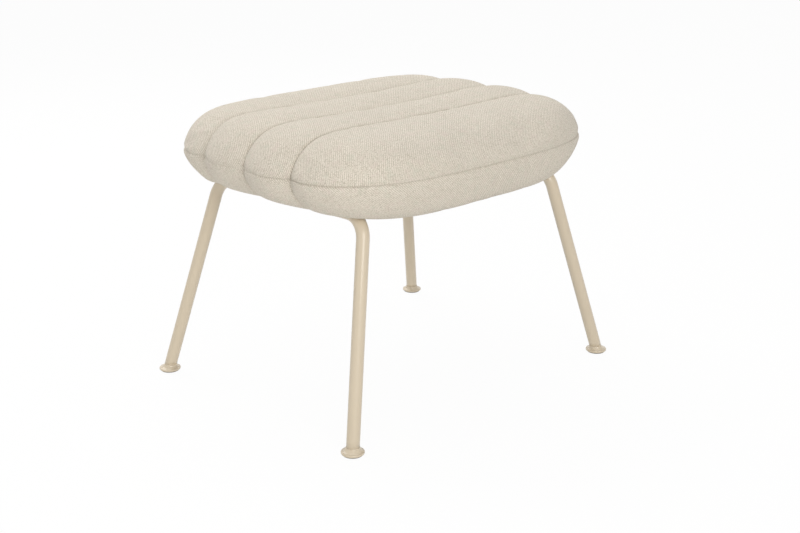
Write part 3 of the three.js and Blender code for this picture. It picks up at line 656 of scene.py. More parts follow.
# %% Every place of the grid
plan = np.zeros((rows + 1, columns + 1, 2))
rim_share = np.full((rows + 1, columns + 1), -1.0)  # round a side, where a place is on one
middle_column = columns // 2
for row in range(rows + 1):
    for k in range(inner_columns + 1):
        y = channel * inner_shares[k]
        x = row_shares[row] * float(reach(y, rim_outline))
        for side in signs:
            plan[row, middle_column + side * k] = (x, side * y)
    for k in range(outer_columns + 1):
        (x, y), share = outer_place(row, k)
        for side in signs:
            column = middle_column + side * (inner_columns + k)
            plan[row, column] = (x, side * y)
            rim_share[row, column] = share
px, py = plan[..., 0], plan[..., 1]
high = crown(px, py)
for edge in (np.s_[0, :], np.s_[-1, :], np.s_[:, 0], np.s_[:, -1]):
    high[edge] = 0
pz = np.where(high > 0, top_height(px, py), seam_z)
py = py + bowed(px, py)
print("top:", round(float(pz.max()), 4), "m high")


# %% [markdown]
# ## The seam round the middle
# Where the top meets the lower cover the cloth is sewn and pulled in, so the seam lies in a
# shallow groove. A point is drawn straight in, except that a point close to a channel
# seam only moves along it.

# %% Drawing points in
stiff_width = 3 * MM  # of the strip beside a channel seam that only moves along it


def drawn_in(x, y, share):
    size = np.maximum(np.hypot(x, y), MM)
    give = np.clip((np.abs(y) - channel) / stiff_width, 0, 1)
    return x - x / size * seam_tuck * share, y - y / size * seam_tuck * share * give


groove_rise, groove_power = 0.12, 1.5  # the groove ends at this share of the crown
px, py = drawn_in(px, py, np.maximum(1 - high / groove_rise, 0) ** groove_power)
print("drawn in by", round(seam_tuck / MM, 1), "mm at the seam")


# %% How far each place of the top is from a seam
def gone_along(axis):
    steps = np.sqrt(sum(np.diff(part, axis=axis) ** 2 for part in (px, py, pz)))
    zero = np.zeros_like(np.take(px, [0], axis=axis))
    return np.concatenate([zero, np.cumsum(steps, axis=axis)], axis=axis)


down_rows, down_columns = gone_along(0), gone_along(1)
to_rim = np.minimum(down_rows, down_rows[-1:, :] - down_rows)
to_rim = np.minimum(to_rim, np.minimum(down_columns, down_columns[:, -1:] - down_columns))
seam_columns = [middle_column + k * inner_columns for k in (-1, 0, 1)]
from_seams = [np.abs(down_columns - down_columns[:, [c]]) for c in seam_columns]
to_channel_seam = np.min(from_seams, axis=0)
print("furthest from a seam:", round(float(np.minimum(to_rim, to_channel_seam).max()), 3), "m")

# %% [markdown]
# ## Laying the cloth flat
# The weave is drawn in flat coordinates, and it only looks right if each bit of cloth has
# its real size there. So the grid is first laid out by its lengths along rows and columns,
# and then every place is moved a little, over and over, until it is as far from its
# neighbours as it is on the cushion.

# %% Flat coordinates of the top
sweeps = 700
haste = 1.4  # moves each place a little further than its neighbours ask, which is quicker


def between_pairs(points, pairs):
    return [np.linalg.norm(points[a] - points[b], axis=-1, keepdims=True) for a, b in pairs]


def laid_flat(u, v):
    flat, solid = np.stack([u, v], axis=-1), np.stack([px, py, pz], axis=-1)
    pairs = [(np.s_[1:, :], np.s_[:-1, :]), (np.s_[:, 1:], np.s_[:, :-1])]
    pairs += [(np.s_[1:, 1:], np.s_[:-1, :-1]), (np.s_[1:, :-1], np.s_[:-1, 1:])]
    lengths = between_pairs(solid, pairs)
    count = np.zeros(flat.shape[:2] + (1,))
    for a, b in pairs:
        count[a] += 1
        count[b] += 1
    for sweep in range(sweeps):
        push = np.zeros_like(flat)
        for (a, b), length in zip(pairs, lengths):
            apart = flat[a] - flat[b]
            size = np.maximum(np.linalg.norm(apart, axis=-1, keepdims=True), 1e-9)
            step = apart * (0.5 - 0.5 * length / size)
            push[a] -= step
            push[b] += step
        flat += haste * push / count
    stretch = [now / length for now, length in zip(between_pairs(flat, pairs), lengths)]
    ends = [round(float(np.percentile(s, p)), 3) for s in stretch for p in (2, 98)]
    print("stretch of the weave:", ends)
    return flat


middle_row, middle_line = down_rows[[rows // 2]], down_columns[:, [middle_column]]
flat_top = laid_flat(down_rows - middle_row, down_columns - middle_line)

# %% [markdown]
# ## Building the cover
# The grid is made with create_grid and its vertices are moved to their places. The lower
# cover is then extruded from the outer edge, ring by ring: down the roll, under to the
# lowest line and in to the hem. Values for the weave and the seams are stored as the rings
# are made.

# %% The top of the cover
def soft_step(value, low, high):
    share = min(max((value - low) / (high - low), 0), 1)
    return share * share * (3 - 2 * share)


def rim_strength(x, y):
    """How deep the seam round the middle lies, and how dark its painted shade is. At the ends it
    nearly closes on one half.
    """
    shallow = soft_step(y, -90 * MM, 0) * soft_step(y, 215 * MM, 180 * MM)
    return 0.6 - 0.52 * shallow * soft_step(abs(x), 200 * MM, 250 * MM)


def channel_strength(x, y):
    """How deep a channel seam lies, and how dark its painted shade is. The seam nearest +Y fades
    out towards the ends.
    """
    fading = soft_step(y, 60 * MM, 80 * MM) * soft_step(abs(x), 200 * MM, 250 * MM)
    return (1 - 0.2 * soft_step(y, -50 * MM, 0)) * (1 - 0.92 * fading)


cover = bmesh.new()
bmesh.ops.create_grid(cover, x_segments=rows, y_segments=columns, size=1)
distance_layer = cover.verts.layers.float.new("seam_distance")
run_layer = cover.verts.layers.float.new("seam_run")
strength_layer = cover.verts.layers.float.new("seam_strength")
pin_layer = cover.verts.layers.float.new("pinned")
crease_layer = cover.edges.layers.float.new("crease_edge")
uv_layer = cover.loops.layers.uv.new("cloth")
flat_of, grid_vertex = {}, {}
for vertex in cover.verts:
    row = round((vertex.co.x + 1) / 2 * rows)
    column = round((vertex.co.y + 1) / 2 * columns)
    grid_vertex[row, column] = vertex
print("grid:", len(grid_vertex), "vertices")

# %% How far round the rim each of its places lies
rim_keys = [(0, c) for c in range(columns)] + [(r, columns) for r in range(rows)]
rim_keys += [(rows, c) for c in range(columns, 0, -1)] + [(r, 0) for r in range(rows, 0, -1)]
rim_length, rim_run = 0.0, {}
for key, following in zip(rim_keys, rim_keys[1:] + rim_keys[:1]):
    rim_run[key] = rim_length
    rim_length += math.dist((px[key], py[key]), (px[following], py[following]))
rim_angles = np.array([math.atan2(py[key], px[key]) for key in rim_keys])
order = np.argsort(rim_angles)
rim_runs = np.array([rim_run[key] for key in rim_keys])
print("rim:", round(rim_length, 3), "m round")

# %% Places and values of the top
for (row, column), vertex in grid_vertex.items():
    x, y, z = px[row, column], py[row, column], pz[row, column]
    vertex.co = (x, y, z)
    near_channel, near_rim = to_channel_seam[row, column], to_rim[row, column]
    vertex[distance_layer] = min(near_channel, near_rim)
    u, v = flat_top[row, column]
    if near_channel < near_rim:
        vertex[run_layer] = u
        vertex[strength_layer] = channel_strength(x, y)
    else:
        vertex[run_layer] = float(np.interp(math.atan2(y, x), rim_angles[order], rim_runs[order]))
        vertex[strength_layer] = rim_strength(x, y)
    vertex[pin_layer] = float(column in seam_columns or near_rim == 0)
    flat_of[vertex] = (u, v)
for face in cover.faces:
    for loop in face.loops:
        loop[uv_layer].uv = flat_of[loop.vert]
print("top:", len(cover.faces), "faces")


# %% Places of the lower cover
def outline_place(key, outline):
    """Where the outline lies below a vertex of the rim."""
    row, column = key
    if rim_share[key] < 0 or abs(column - middle_column) <= inner_columns:
        y = channel * inner_shares[abs(column - middle_column)] * np.sign(column - middle_column)
        return np.array([(1 if row else -1) * float(reach(y, outline)), y])
    x, y = rim_place(outline, rim_share[key])
    return np.array([x, y if column > middle_column else -y])


roll_count, roll_bunching = 13, 1.4
fine, roll_width = np.linspace(0, 1, 4001), 40 * MM
fine_heights = roll_height(fine, lowest_height(0))
roll_steps = np.linspace(0, 1, roll_count + 1) ** roll_bunching
roll_shares = even_by_length(roll_width * fine, fine_heights, roll_steps) / roll_width
rings = [("roll", share) for share in roll_shares[1:]]
rings += [("rise", 0.5), ("rise", 1.0), ("hem", 0.5), ("hem", 1.0)]
groove_height, rise_power = 6 * MM, 1.5


def ring_place(key, kind, share):
    lowest_place = outline_place(key, low_outline)
    lowest = float(lowest_height(lowest_place[0]))
    if kind == "roll":
        outer, z = outline_place(key, rim_outline), roll_height(share, lowest)
        x, y = outer + (lowest_place - outer) * share
        x, y = drawn_in(x, y, max(1 - (seam_z - z) / groove_height, 0) ** groove_power)
        return Vector((x, y, z))
    if kind == "rise":
        outer, inner = lowest_place, outline_place(key, hem_start_outline)
        z = lowest + (hem_z - lowest) * share**rise_power
    else:
        outer, inner = outline_place(key, hem_start_outline), outline_place(key, hem_end_outline)
        z = hem_z
    x, y = outer + (inner - outer) * share
    return Vector((x, y, z))


# %% Extruding the lower cover
def new_verts(made):
    return [part for part in made if isinstance(part, bmesh.types.BMVert)]


def new_edges(made):
    return [part for part in made if isinstance(part, bmesh.types.BMEdge)]


def new_faces(made):
    return [part for part in made if isinstance(part, bmesh.types.BMFace)]


lower_seams = 0.55  # how deep the channel seams lie here, and how dark their painted shade is, beside those of the top
no_seam = 1.0  # far beyond any seam's reach, in metres
end_columns = inner_columns + outer_columns // 2
key_of = {grid_vertex[key]: key for key in rim_keys}
depth_of = {vertex: 0.0 for vertex in key_of}
edges = [edge for edge in cover.edges if edge.is_boundary]
for edge in edges:
    edge[crease_layer] = 1.0
for kind, share in rings:
    made = bmesh.ops.extrude_edge_only(cover, edges=edges)["geom"]
    lower = set(new_verts(made))
    for vertex in lower:
        joining = (edge.other_vert(vertex) for edge in vertex.link_edges)
        above = next(other for other in joining if other not in lower)
        key = key_of[vertex] = key_of[above]
        vertex.co = ring_place(key, kind, share)
        depth = depth_of[vertex] = depth_of[above] + (vertex.co - above.co).length
        x, y = vertex.co.xy
        on_end = key[0] in (0, rows) and abs(key[1] - middle_column) <= end_columns
        beside = min(abs(y), abs(abs(y) - channel)) if on_end else no_seam
        vertex[distance_layer] = min(beside, depth)
        vertex[run_layer] = rim_run[key] if depth < beside else depth
        vertex[strength_layer] = lower_seams * channel_strength(x, y)
        if depth < beside:
            vertex[strength_layer] = rim_strength(x, y)
        vertex[pin_layer] = float(kind == "hem" or key[1] in seam_columns)
    for face in new_faces(made):
        runs = [rim_run[key_of[vertex]] for vertex in face.verts]
        for loop in face.loops:
            run = rim_run[key_of[loop.vert]]
            if run == 0 and max(runs) > rim_length / 2:
                run = rim_length
            loop[uv_layer].uv = (run, -depth_of[loop.vert])
    edges = [edge for edge in new_edges(made) if lower.issuperset(edge.verts)]
    for edge in new_edges(made):
        edge[crease_layer] = 0.0
print("lower cover:", len(rings), "rings")

# %% Crisp channel seams, and faces that look outwards
seam_verts = {vertex for key, vertex in grid_vertex.items() if key[1] in seam_columns}
seam_verts |= {vertex for vertex, key in key_of.items() if key[1] in seam_columns}
creased = [edge for edge in cover.edges if seam_verts.issuperset(edge.verts)]
for edge in creased:
    edge[crease_layer] = 1.0
print("creased along the channels:", len(creased), "edges")
bmesh.ops.recalc_face_normals(cover, faces=cover.faces)
if grid_vertex[rows // 2, middle_column + 3].normal.z < 0:
    bmesh.ops.reverse_faces(cover, faces=cover.faces)

# %% A fixed order for its edges and faces
# Extruding leaves them in another order in each run, and the cloth simulation below would
# then settle a little differently each time.
cover.verts.index_update()
vertex_count = len(cover.verts)


def by_corners(part):
    first, second, *others = sorted(vertex.index for vertex in part.verts)
    last = others[-1] if others else second
    return (first * vertex_count + second) * vertex_count + last


cover.edges.sort(key=by_corners)
cover.faces.sort(key=by_corners)
cover_mesh = bpy.data.meshes.new("cushion_cover")
cover.to_mesh(cover_mesh)
cover.free()
cushion_cover = bpy.data.objects.new("cushion_cover", cover_mesh)
scene.collection.objects.link(cushion_cover)
print("cover:", len(cover_mesh.vertices), "vertices")

# %% [markdown]
# ## Filling the cover
# Foam pushes the cloth out and the seams hold it back, and that pull is what makes real
# upholstery look soft. Blender's cloth simulation gives the same: the seams and the hem are
# pinned, the cloth gets a little spare length and a light pressure from inside, and gravity
# is off. Twenty frames are enough. The form has been measured already, so most of the even
# swelling is taken back, only a part of the rest is kept, under a cap, and the soft dents
# along the seams stay.

# %% The simulation
def points_of(mesh):
    flat_list = np.zeros(len(mesh.vertices) * 3, np.float32)
    mesh.vertices.foreach_get("co", flat_list)
    return flat_list.reshape(-1, 3).astype(float)


def set_points(mesh, points):
    mesh.vertices.foreach_set("co", points.astype(np.float32).ravel())
    mesh.update()


def evened(mesh, values, rounds):
    """The same values, averaged with their neighbours' again and again."""
    ends = np.zeros(len(mesh.edges) * 2, np.int32)
    mesh.edges.foreach_get("vertices", ends)
    a, b = ends[::2], ends[1::2]
    count = np.bincount(ends, minlength=len(values))[:, None]
    for number in range(rounds):
        total = np.zeros_like(values)
        np.add.at(total, a, values[b])
        np.add.at(total, b, values[a])
        values = 0.5 * values + 0.5 * total / count
    return values


def stored(mesh, name):
    values = np.zeros(len(mesh.vertices), np.float32)
    mesh.attributes[name].data.foreach_get("value", values)
    return values


last_frame = 20
swelling_back, rounds = 0.85, 80  # how much of the even swelling is taken back
kept_part, cap = 0.6, 1.5 * MM


def fill(piece):
    mesh = piece.data
    start = points_of(mesh)
    pinned = stored(mesh, "pinned")
    group = piece.vertex_groups.new(name="held")
    group.add([int(i) for i in np.nonzero(pinned > 0.5)[0]], 1.0, "REPLACE")
    cloth = piece.modifiers.new("filling", "CLOTH")
    cloth.settings.vertex_group_mass = "held"
    cloth.settings.quality = 6
    cloth.settings.mass = 0.35
    cloth.settings.air_damping = 4
    cloth.settings.tension_stiffness = 30
    cloth.settings.compression_stiffness = 30
    cloth.settings.shear_stiffness = 12
    cloth.settings.bending_stiffness = 3.0
    cloth.settings.shrink_min = -0.012
    cloth.settings.use_pressure = True
    cloth.settings.uniform_pressure_force = 4
    cloth.settings.effector_weights.gravity = 0
    cloth.collision_settings.use_collision = False
    cloth.point_cache.frame_start, cloth.point_cache.frame_end = 1, last_frame
    for number in range(1, last_frame + 1):
        scene.frame_set(number)
    shaped = piece.evaluated_get(bpy.context.evaluated_depsgraph_get())
    moved = points_of(shaped.data) - start
    piece.modifiers.remove(cloth)
    piece.vertex_groups.remove(group)
    scene.frame_set(1)
    kept = kept_part * (moved - swelling_back * evened(mesh, moved, rounds))
    kept[pinned > 0.5] = 0
    size = np.linalg.norm(kept, axis=1, keepdims=True)
    kept *= np.minimum(1, cap / np.maximum(size, 1e-9))
    set_points(mesh, start + kept)
    for label, part in (("moved", moved), ("kept", kept)):
        size = np.linalg.norm(part, axis=1) / MM
        spread = [round(float(np.percentile(size, p)), 2) for p in (50, 90, 99, 100)]
        print("filling", label, "mm:", spread)


fill(cushion_cover)

# %% [markdown]
# ## Seams
# One round of subdivision makes the cloth smooth, while creased edges keep the seams
# sharp. The seam's groove comes after it: close to a seam the cloth turns sharply down into
# the stitches, and small puckers run out from it at uneven steps.

# %% Subdividing, then pressing the seams in
def apply_modifiers(piece):
    graph = bpy.context.evaluated_depsgraph_get()
    graph.update()
    finished = bpy.data.meshes.new_from_object(
        piece.evaluated_get(graph), preserve_all_data_layers=True, depsgraph=graph
    )
    old = piece.data
    piece.modifiers.clear()
    piece.data = finished
    bpy.data.meshes.remove(old)


groove_depth, groove_half_width, groove_fall = 1.3 * MM, 2.4 * MM, 1.6
pucker_depth, pucker_fade = 0.9 * MM, 9 * MM
pucker_width, pucker_length = 11 * MM, 40 * MM
underside_fade = 6 * MM  # the grooves end this far above the lowest line


def press_seams(piece):
    mesh = piece.data
    distance, run, strength = (stored(mesh, "seam_" + n) for n in ("distance", "run", "strength"))
    normals = np.zeros(len(mesh.vertices) * 3, np.float32)
    mesh.vertices.foreach_get("normal", normals)
    points = points_of(mesh)
    push = groove_depth * np.clip(1 - distance / groove_half_width, 0, 1) ** groove_fall
    fade = np.exp(-distance / pucker_fade) * np.clip(distance / (2 * MM), 0, 1)
    for i in np.nonzero(fade > 0.03)[0]:
        place = Vector((run[i] / pucker_width, distance[i] / pucker_length, points[i][0] * 3))
        push[i] += pucker_depth * noise.noise(place) * fade[i]
    above = points[:, 2] - lowest_height(points[:, 0])
    push *= strength * np.clip(above / underside_fade, 0, 1)
    set_points(mesh, points - normals.reshape(-1, 3) * push[:, None])


rounding = cushion_cover.modifiers.new("rounding", "SUBSURF")
rounding.levels = rounding.render_levels = 1
rounding.boundary_smooth = "PRESERVE_CORNERS"
apply_modifiers(cushion_cover)
press_seams(cushion_cover)
for polygon in cushion_cover.data.polygons:
    polygon.use_smooth = True
print("cover:", len(cushion_cover.data.polygons), "faces before its wall")

# %% The cover's wall, and its place on the frame
cushion_cover.data.materials.append(upholstery)
wall = cushion_cover.modifiers.new("cloth thickness", "SOLIDIFY")
wall.thickness, wall.offset = 1.6 * MM, -1
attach(cushion_cover, "root")
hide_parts(*[f"cover_top_{k}" for k in range(1, 5)], "cover_side_1", "cover_side_4")
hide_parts("cover_end_a2", "cover_end_a3", "cover_end_b2", "cover_end_b3")
print("cloth:", round(wall.thickness / MM, 1), "mm thick")

# %% [markdown]
# ## The foam
# Four foam channels lie on a lower foam that wraps the board. They are cut blocks, so each
# starts from a merged copy of its solid and is drawn in by a millimetre, so that it never
# shows through the cloth. The channels follow the cover where use has pressed it down or
# bowed a seam.

# %% Foam pieces
def merged_copy(node):
    bm = bmesh.new()
    bm.from_mesh(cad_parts[node].data)
    bmesh.ops.remove_doubles(bm, verts=bm.verts, dist=0.02 * MM)
    bm.normal_update()
    return bm


def add_piece(bm, name, material, replaced, sharp=32):
    """Makes the mesh an object that rides on the frame. Edges sharper than this stay crisp."""
    for face in bm.faces:
        face.smooth = True
    for edge in bm.edges:
        if edge.is_manifold and edge.calc_face_angle() > math.radians(sharp):
            edge.smooth = False
    mesh = bpy.data.meshes.new(name)
    bm.to_mesh(mesh)
    bm.free()
    mesh.materials.append(material)
    piece = bpy.data.objects.new(name, mesh)
    scene.collection.objects.link(piece)
    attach(piece, "root")
    if replaced:
        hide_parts(*replaced)
    return piece


def outline_level(x, y, outline):
    """1 on an outline, less inside it and more outside."""
    length, width = outline[:2]
    level = (abs(x) / length) ** outline_power + (abs(y) / width) ** outline_power
    return level ** (1 / outline_power)


foam_gap = 1.0 * MM
give_height = 30 * MM  # over this height above the seam the foam comes to follow the cover
for k in range(1, 5):
    bm = merged_copy(f"channel_foam_{k}")
    for vertex in bm.verts:
        vertex.co -= vertex.normal * foam_gap
        x, y, z = vertex.co
        share = min(max((z - seam_z) / give_height, 0), 1)
        vertex.co.y += share * float(bowed(x, y))
        vertex.co.z -= share * float(pressed(x, y))
    block = add_piece(bm, f"foam_channel_{k}", foam, [f"channel_foam_{k}"], sharp=60)

bm = merged_copy("foam_base")
for vertex in bm.verts:
    if outline_level(vertex.co.x, vertex.co.y, low_outline) > 1:
        vertex.co -= vertex.normal * foam_gap
block = add_piece(bm, "foam_wrap", foam, ["foam_base"], sharp=60)
print("foam: 5 pieces")

# %% [markdown]
# ## The hoops
# Each hoop is one length of tube: up a leg, round a bend, along under the cushion, round
# again and down. That is just how it can be modelled: a circle is extruded along the
# straight parts and spun round the bends. The ends are cut level afterwards, as they are
# on the real tube, and Solidify gives the wall.

# %% Working along a tube
def push_ring(bm, edges, travel, steps):
    """Extrudes a ring of edges along a straight part and returns the last ring."""
    for number in range(steps):
        made = bmesh.ops.extrude_edge_only(bm, edges=edges)["geom"]
        moved = set(new_verts(made))
        bmesh.ops.translate(bm, verts=list(moved), vec=travel / steps)
        edges = [edge for edge in new_edges(made) if moved.issuperset(edge.verts)]
    return edges


def bend_ring(bm, edges, centre, before, after, steps):
    """Spins a ring of edges round a bend, from one direction into another."""
    verts = list({vertex for edge in edges for vertex in edge.verts})
    axis, angle = before.cross(after).normalized(), before.angle(after)
    made = bmesh.ops.spin(
        bm, geom=verts + edges, cent=centre, axis=axis, dvec=(0, 0, 0), angle=angle,
        steps=steps, use_merge=False, use_normal_flip=False, use_duplicate=False,
    )
    return new_edges(made["geom_last"])


def leg_point(height):
    return Vector((foot_x - lean_x * height, foot_y - lean_y * height, height))


# %% The path of a hoop
corner, foot = leg_point(run_z), leg_point(-10 * MM)
up = (corner - foot).normalized()
across = Vector((0, -1, 0))
setback = bend_radius * math.tan(up.angle(across) / 2)
bend_start, run_start = corner - up * setback, corner + across * setback
bend_centre = bend_start + (across - up * across.dot(up)).normalized() * bend_radius
other_side = Matrix.Diagonal((1, -1, 1))
down = -(other_side @ up)
print("the run is", round(2 * run_start.y, 4), "m long between its bends")

# %% The two hoops
straight_steps, bend_steps = 10, 20
half_turn = Matrix.Rotation(math.pi, 3, "Z")
for end, name in zip(signs, ("a", "b")):
    bm = bmesh.new()
    along_leg = Vector((0, 0, 1)).rotation_difference(up).to_matrix().to_4x4()
    at_foot = Matrix.Translation(foot) @ along_leg
    bmesh.ops.create_circle(bm, segments=56, radius=tube_radius, matrix=at_foot)
    edges = push_ring(bm, list(bm.edges), bend_start - foot, straight_steps)
    edges = bend_ring(bm, edges, bend_centre, up, across, bend_steps)
    edges = push_ring(bm, edges, across * 2 * run_start.y, straight_steps)
    edges = bend_ring(bm, edges, other_side @ bend_centre, across, down, bend_steps)
    push_ring(bm, edges, other_side @ (foot - bend_start), straight_steps)
    bmesh.ops.bisect_plane(
        bm, geom=bm.verts[:] + bm.edges[:] + bm.faces[:],
        plane_co=(0, 0, leg_bottom), plane_no=(0, 0, -1), clear_outer=True,
    )
    if end < 0:
        bmesh.ops.rotate(bm, cent=(0, 0, 0), matrix=half_turn, verts=bm.verts)
    bmesh.ops.remove_doubles(bm, verts=bm.verts, dist=0.01 * MM)
    bmesh.ops.recalc_face_normals(bm, faces=bm.faces)
    high = max(vertex.co.z for vertex in bm.verts)
    print("hoop", name, "has", len(bm.faces), "faces and is", round(high, 4), "m high")
    hoop = add_piece(bm, "hoop_" + name, coated_steel, ["leg_hoop_" + name])
    wall = hoop.modifiers.new("tube wall", "SOLIDIFY")
    wall.thickness, wall.offset = tube_wall, -1

# %% [markdown]
# ## Turned parts
# The feet, glides and screws are all round, so each is a profile spun once about the Z
# axis. The profile is a list of distances from the axis and heights, in millimetres.

# %% Turning a profile
def turned(bm, profile, steps=64, closed=False):
    """Spins a profile round the Z axis and returns its vertices."""
    before = set(bm.verts)
    points = [bm.verts.new((distance * MM, 0, height * MM)) for distance, height in profile]
    joined = zip(points, points[1:] + points[:1]) if closed else zip(points, points[1:])
    edges = [bm.edges.new(pair) for pair in joined]
    bmesh.ops.spin(
        bm, geom=points + edges, cent=(0, 0, 0), axis=(0, 0, 1), dvec=(0, 0, 0),
        angle=2 * math.pi, steps=steps, use_merge=True, use_normal_flip=False,
        use_duplicate=False,
    )
    made = [vertex for vertex in bm.verts if vertex not in before]
    bmesh.ops.remove_doubles(bm, verts=made, dist=0.001 * MM)
    return [vertex for vertex in bm.verts if vertex not in before]


def arc(centre_distance, centre_height, radius, first, last, steps=6):
    """Profile points on an arc, between two angles in degrees."""
    points = []
    for k in range(steps + 1):
        angle = math.radians(first + (last - first) * k / steps)
        out, rise = radius * math.cos(angle), radius * math.sin(angle)
        points.append((centre_distance + out, centre_height + rise))
    return points


# %% [markdown]
# ## Feet
# A round flange with a rolled rim is welded under each leg. The leg leans, so the weld bead
# round it is turned upright and then sheared to the leg's lean, and a slow ripple keeps it
# from looking machined. A nylon glide is pressed in from below to spare the floor.

# %% Foot discs with their welds
def lean_with_leg(verts, sx, sy, base):
    for vertex in verts:
        rise = vertex.co.z - base
        vertex.co.x -= sx * lean_x * rise
        vertex.co.y -= sy * lean_y * rise


def stand_under_leg(bm, sx, sy):
    """Moves a turned piece under its leg, and turns its faces outwards."""
    middle = leg_point(disc_top)
    bmesh.ops.translate(bm, verts=bm.verts, vec=(sx * middle.x, sy * middle.y, 0))
    bmesh.ops.recalc_face_normals(bm, faces=bm.faces)


disc_profile = [(4.3, 1.9), *arc(15.3, 3.3, 1.4, -90, 0), *arc(15.3, 4.0, 1.4, 0, 90), (4.3, 5.4)]
bead_profile = [(8.9, 5.2), (14.4, 5.3), (13.6, 5.8), (12.6, 6.4), (11.7, 7.2), (10.9, 8.2)]
bead_profile += [(10.3, 9.4), (9.8, 10.8), (8.9, 10.8)]
bead_outside, bead_ripple = 9.2 * MM, 0.5 * MM
for (sx, sy), name in zip(corners, corner_names):
    bm = bmesh.new()
    turned(bm, disc_profile, closed=True)
    bead = turned(bm, bead_profile, closed=True)
    for vertex in bead:
        turn = Vector((vertex.co.x, vertex.co.y, 0)).normalized()
        slow = noise.noise(turn * 3.1 + Vector((sx, sy, 0)) * 5)
        ripple = slow + 0.4 * noise.noise(turn * 9)
        if vertex.co.xy.length > bead_outside:
            vertex.co += turn * ripple * bead_ripple
    lean_with_leg(bead, sx, sy, disc_top)
    stand_under_leg(bm, sx, sy)
    add_piece(bm, "foot_" + name, coated_steel, ["foot_disc_" + name])

# %% Glides
glide_profile = [(0, 0), (13.5, 0), *arc(13.7, 0.6, 0.6, -90, 0, 4)]
glide_profile += [*arc(13.9, 1.2, 0.4, 0, 90, 4), (4, 1.6), (4, 5.1), (3.7, 5.4), (0, 5.4)]
for (sx, sy), name in zip(corners, corner_names):
    bm = bmesh.new()
    turned(bm, glide_profile)
    stand_under_leg(bm, sx, sy)
    add_piece(bm, "glide_pad_" + name, glide_nylon, ["glide_" + name])
print("feet: 4 discs and 4 glides")

# %% [markdown]
# ## Mounting plates
# Each hoop's level run carries two flat plates, welded on from both sides of the tube. A
# plate is a rectangle with its corners rounded by a vertex bevel. Two circles are laid in
# it, triangle_fill leaves them open as screw holes, and the flat shape is then extruded.
# A light bevel modifier gives the edges the softness that coating leaves on cut steel.

# %% A plate and its welds
plate_length, plate_width, plate_corner = 52 * MM, 40 * MM, 5 * MM
screw_hole_radius = 3.3 * MM
weld_x, weld_z, weld_radius, weld_half_length = 3.7 * MM, -0.7 * MM, 1.35 * MM, 15 * MM


def make_plate(bm):
    bmesh.ops.create_grid(bm, x_segments=1, y_segments=1, size=0.5)
    bmesh.ops.scale(bm, verts=bm.verts, vec=(plate_length, plate_width, 1))
    bmesh.ops.bevel(
        bm, geom=bm.verts[:], offset=plate_corner, offset_type="OFFSET", affect="VERTICES",
        segments=8, profile=0.5, material=-1,
    )
    bmesh.ops.delete(bm, geom=bm.faces[:], context="FACES_ONLY")
    for side in signs:
        place = Matrix.Translation((side * screw_x, 0, 0))
        bmesh.ops.create_circle(bm, segments=32, radius=screw_hole_radius, matrix=place)
    bmesh.ops.triangle_fill(bm, edges=bm.edges[:], use_beauty=True)
    made = bmesh.ops.extrude_face_region(bm, geom=bm.faces[:])["geom"]
    bmesh.ops.translate(bm, verts=new_verts(made), vec=(0, 0, plate_top - plate_bottom))


def add_welds(bm, seed):
    """Two beads along the tube. They wander a little, as a hand does."""
    for side in signs:
        start = Matrix.Translation((side * weld_x, -weld_half_length, weld_z))
        lying = start @ Matrix.Rotation(math.pi / 2, 4, "X")
        ring = bmesh.ops.create_circle(bm, segments=12, radius=weld_radius, matrix=lying)["verts"]
        edges = list({edge for vertex in ring for edge in vertex.link_edges})
        last = push_ring(bm, edges, Vector((0, 2 * weld_half_length, 0)), 24)
        bmesh.ops.holes_fill(bm, edges=edges + last, sides=12)
    for vertex in bm.verts:
        beside = abs(abs(vertex.co.x) - weld_x) < 2 * MM
        below = -3 * MM < vertex.co.z < 1 * MM
        if beside and below and abs(vertex.co.y) < weld_half_length + 1 * MM:
            vertex.co.x += noise.noise(vertex.co * 220 + seed) * 0.5 * MM


# %% The four plates
for (sx, sy), name in zip(corners, corner_names):
    bm = bmesh.new()
    make_plate(bm)
    add_welds(bm, Vector((sx, sy, 1)))
    bmesh.ops.translate(bm, verts=bm.verts, vec=(sx * run_x, sy * plate_y, plate_bottom))
    bmesh.ops.recalc_face_normals(bm, faces=bm.faces)
    solid = "mounting_plate_" + name
    plate = add_piece(bm, "plate_" + name, coated_steel, [solid])
    soften = plate.modifiers.new("soft edges", "BEVEL")
    soften.width, soften.segments = 0.4 * MM, 2
    soften.limit_method, soften.angle_limit = "ANGLE", math.radians(50)
print("plates: 4")

# %% [markdown]
# ## Screws
# The plates are held up by machine screws with a low domed head and a socket for a 4 mm
# key. The profile is turned round, then the points of the socket are moved from a circle
# to a hexagon. The thread is one ridge that spins up the shank, a step higher each time.

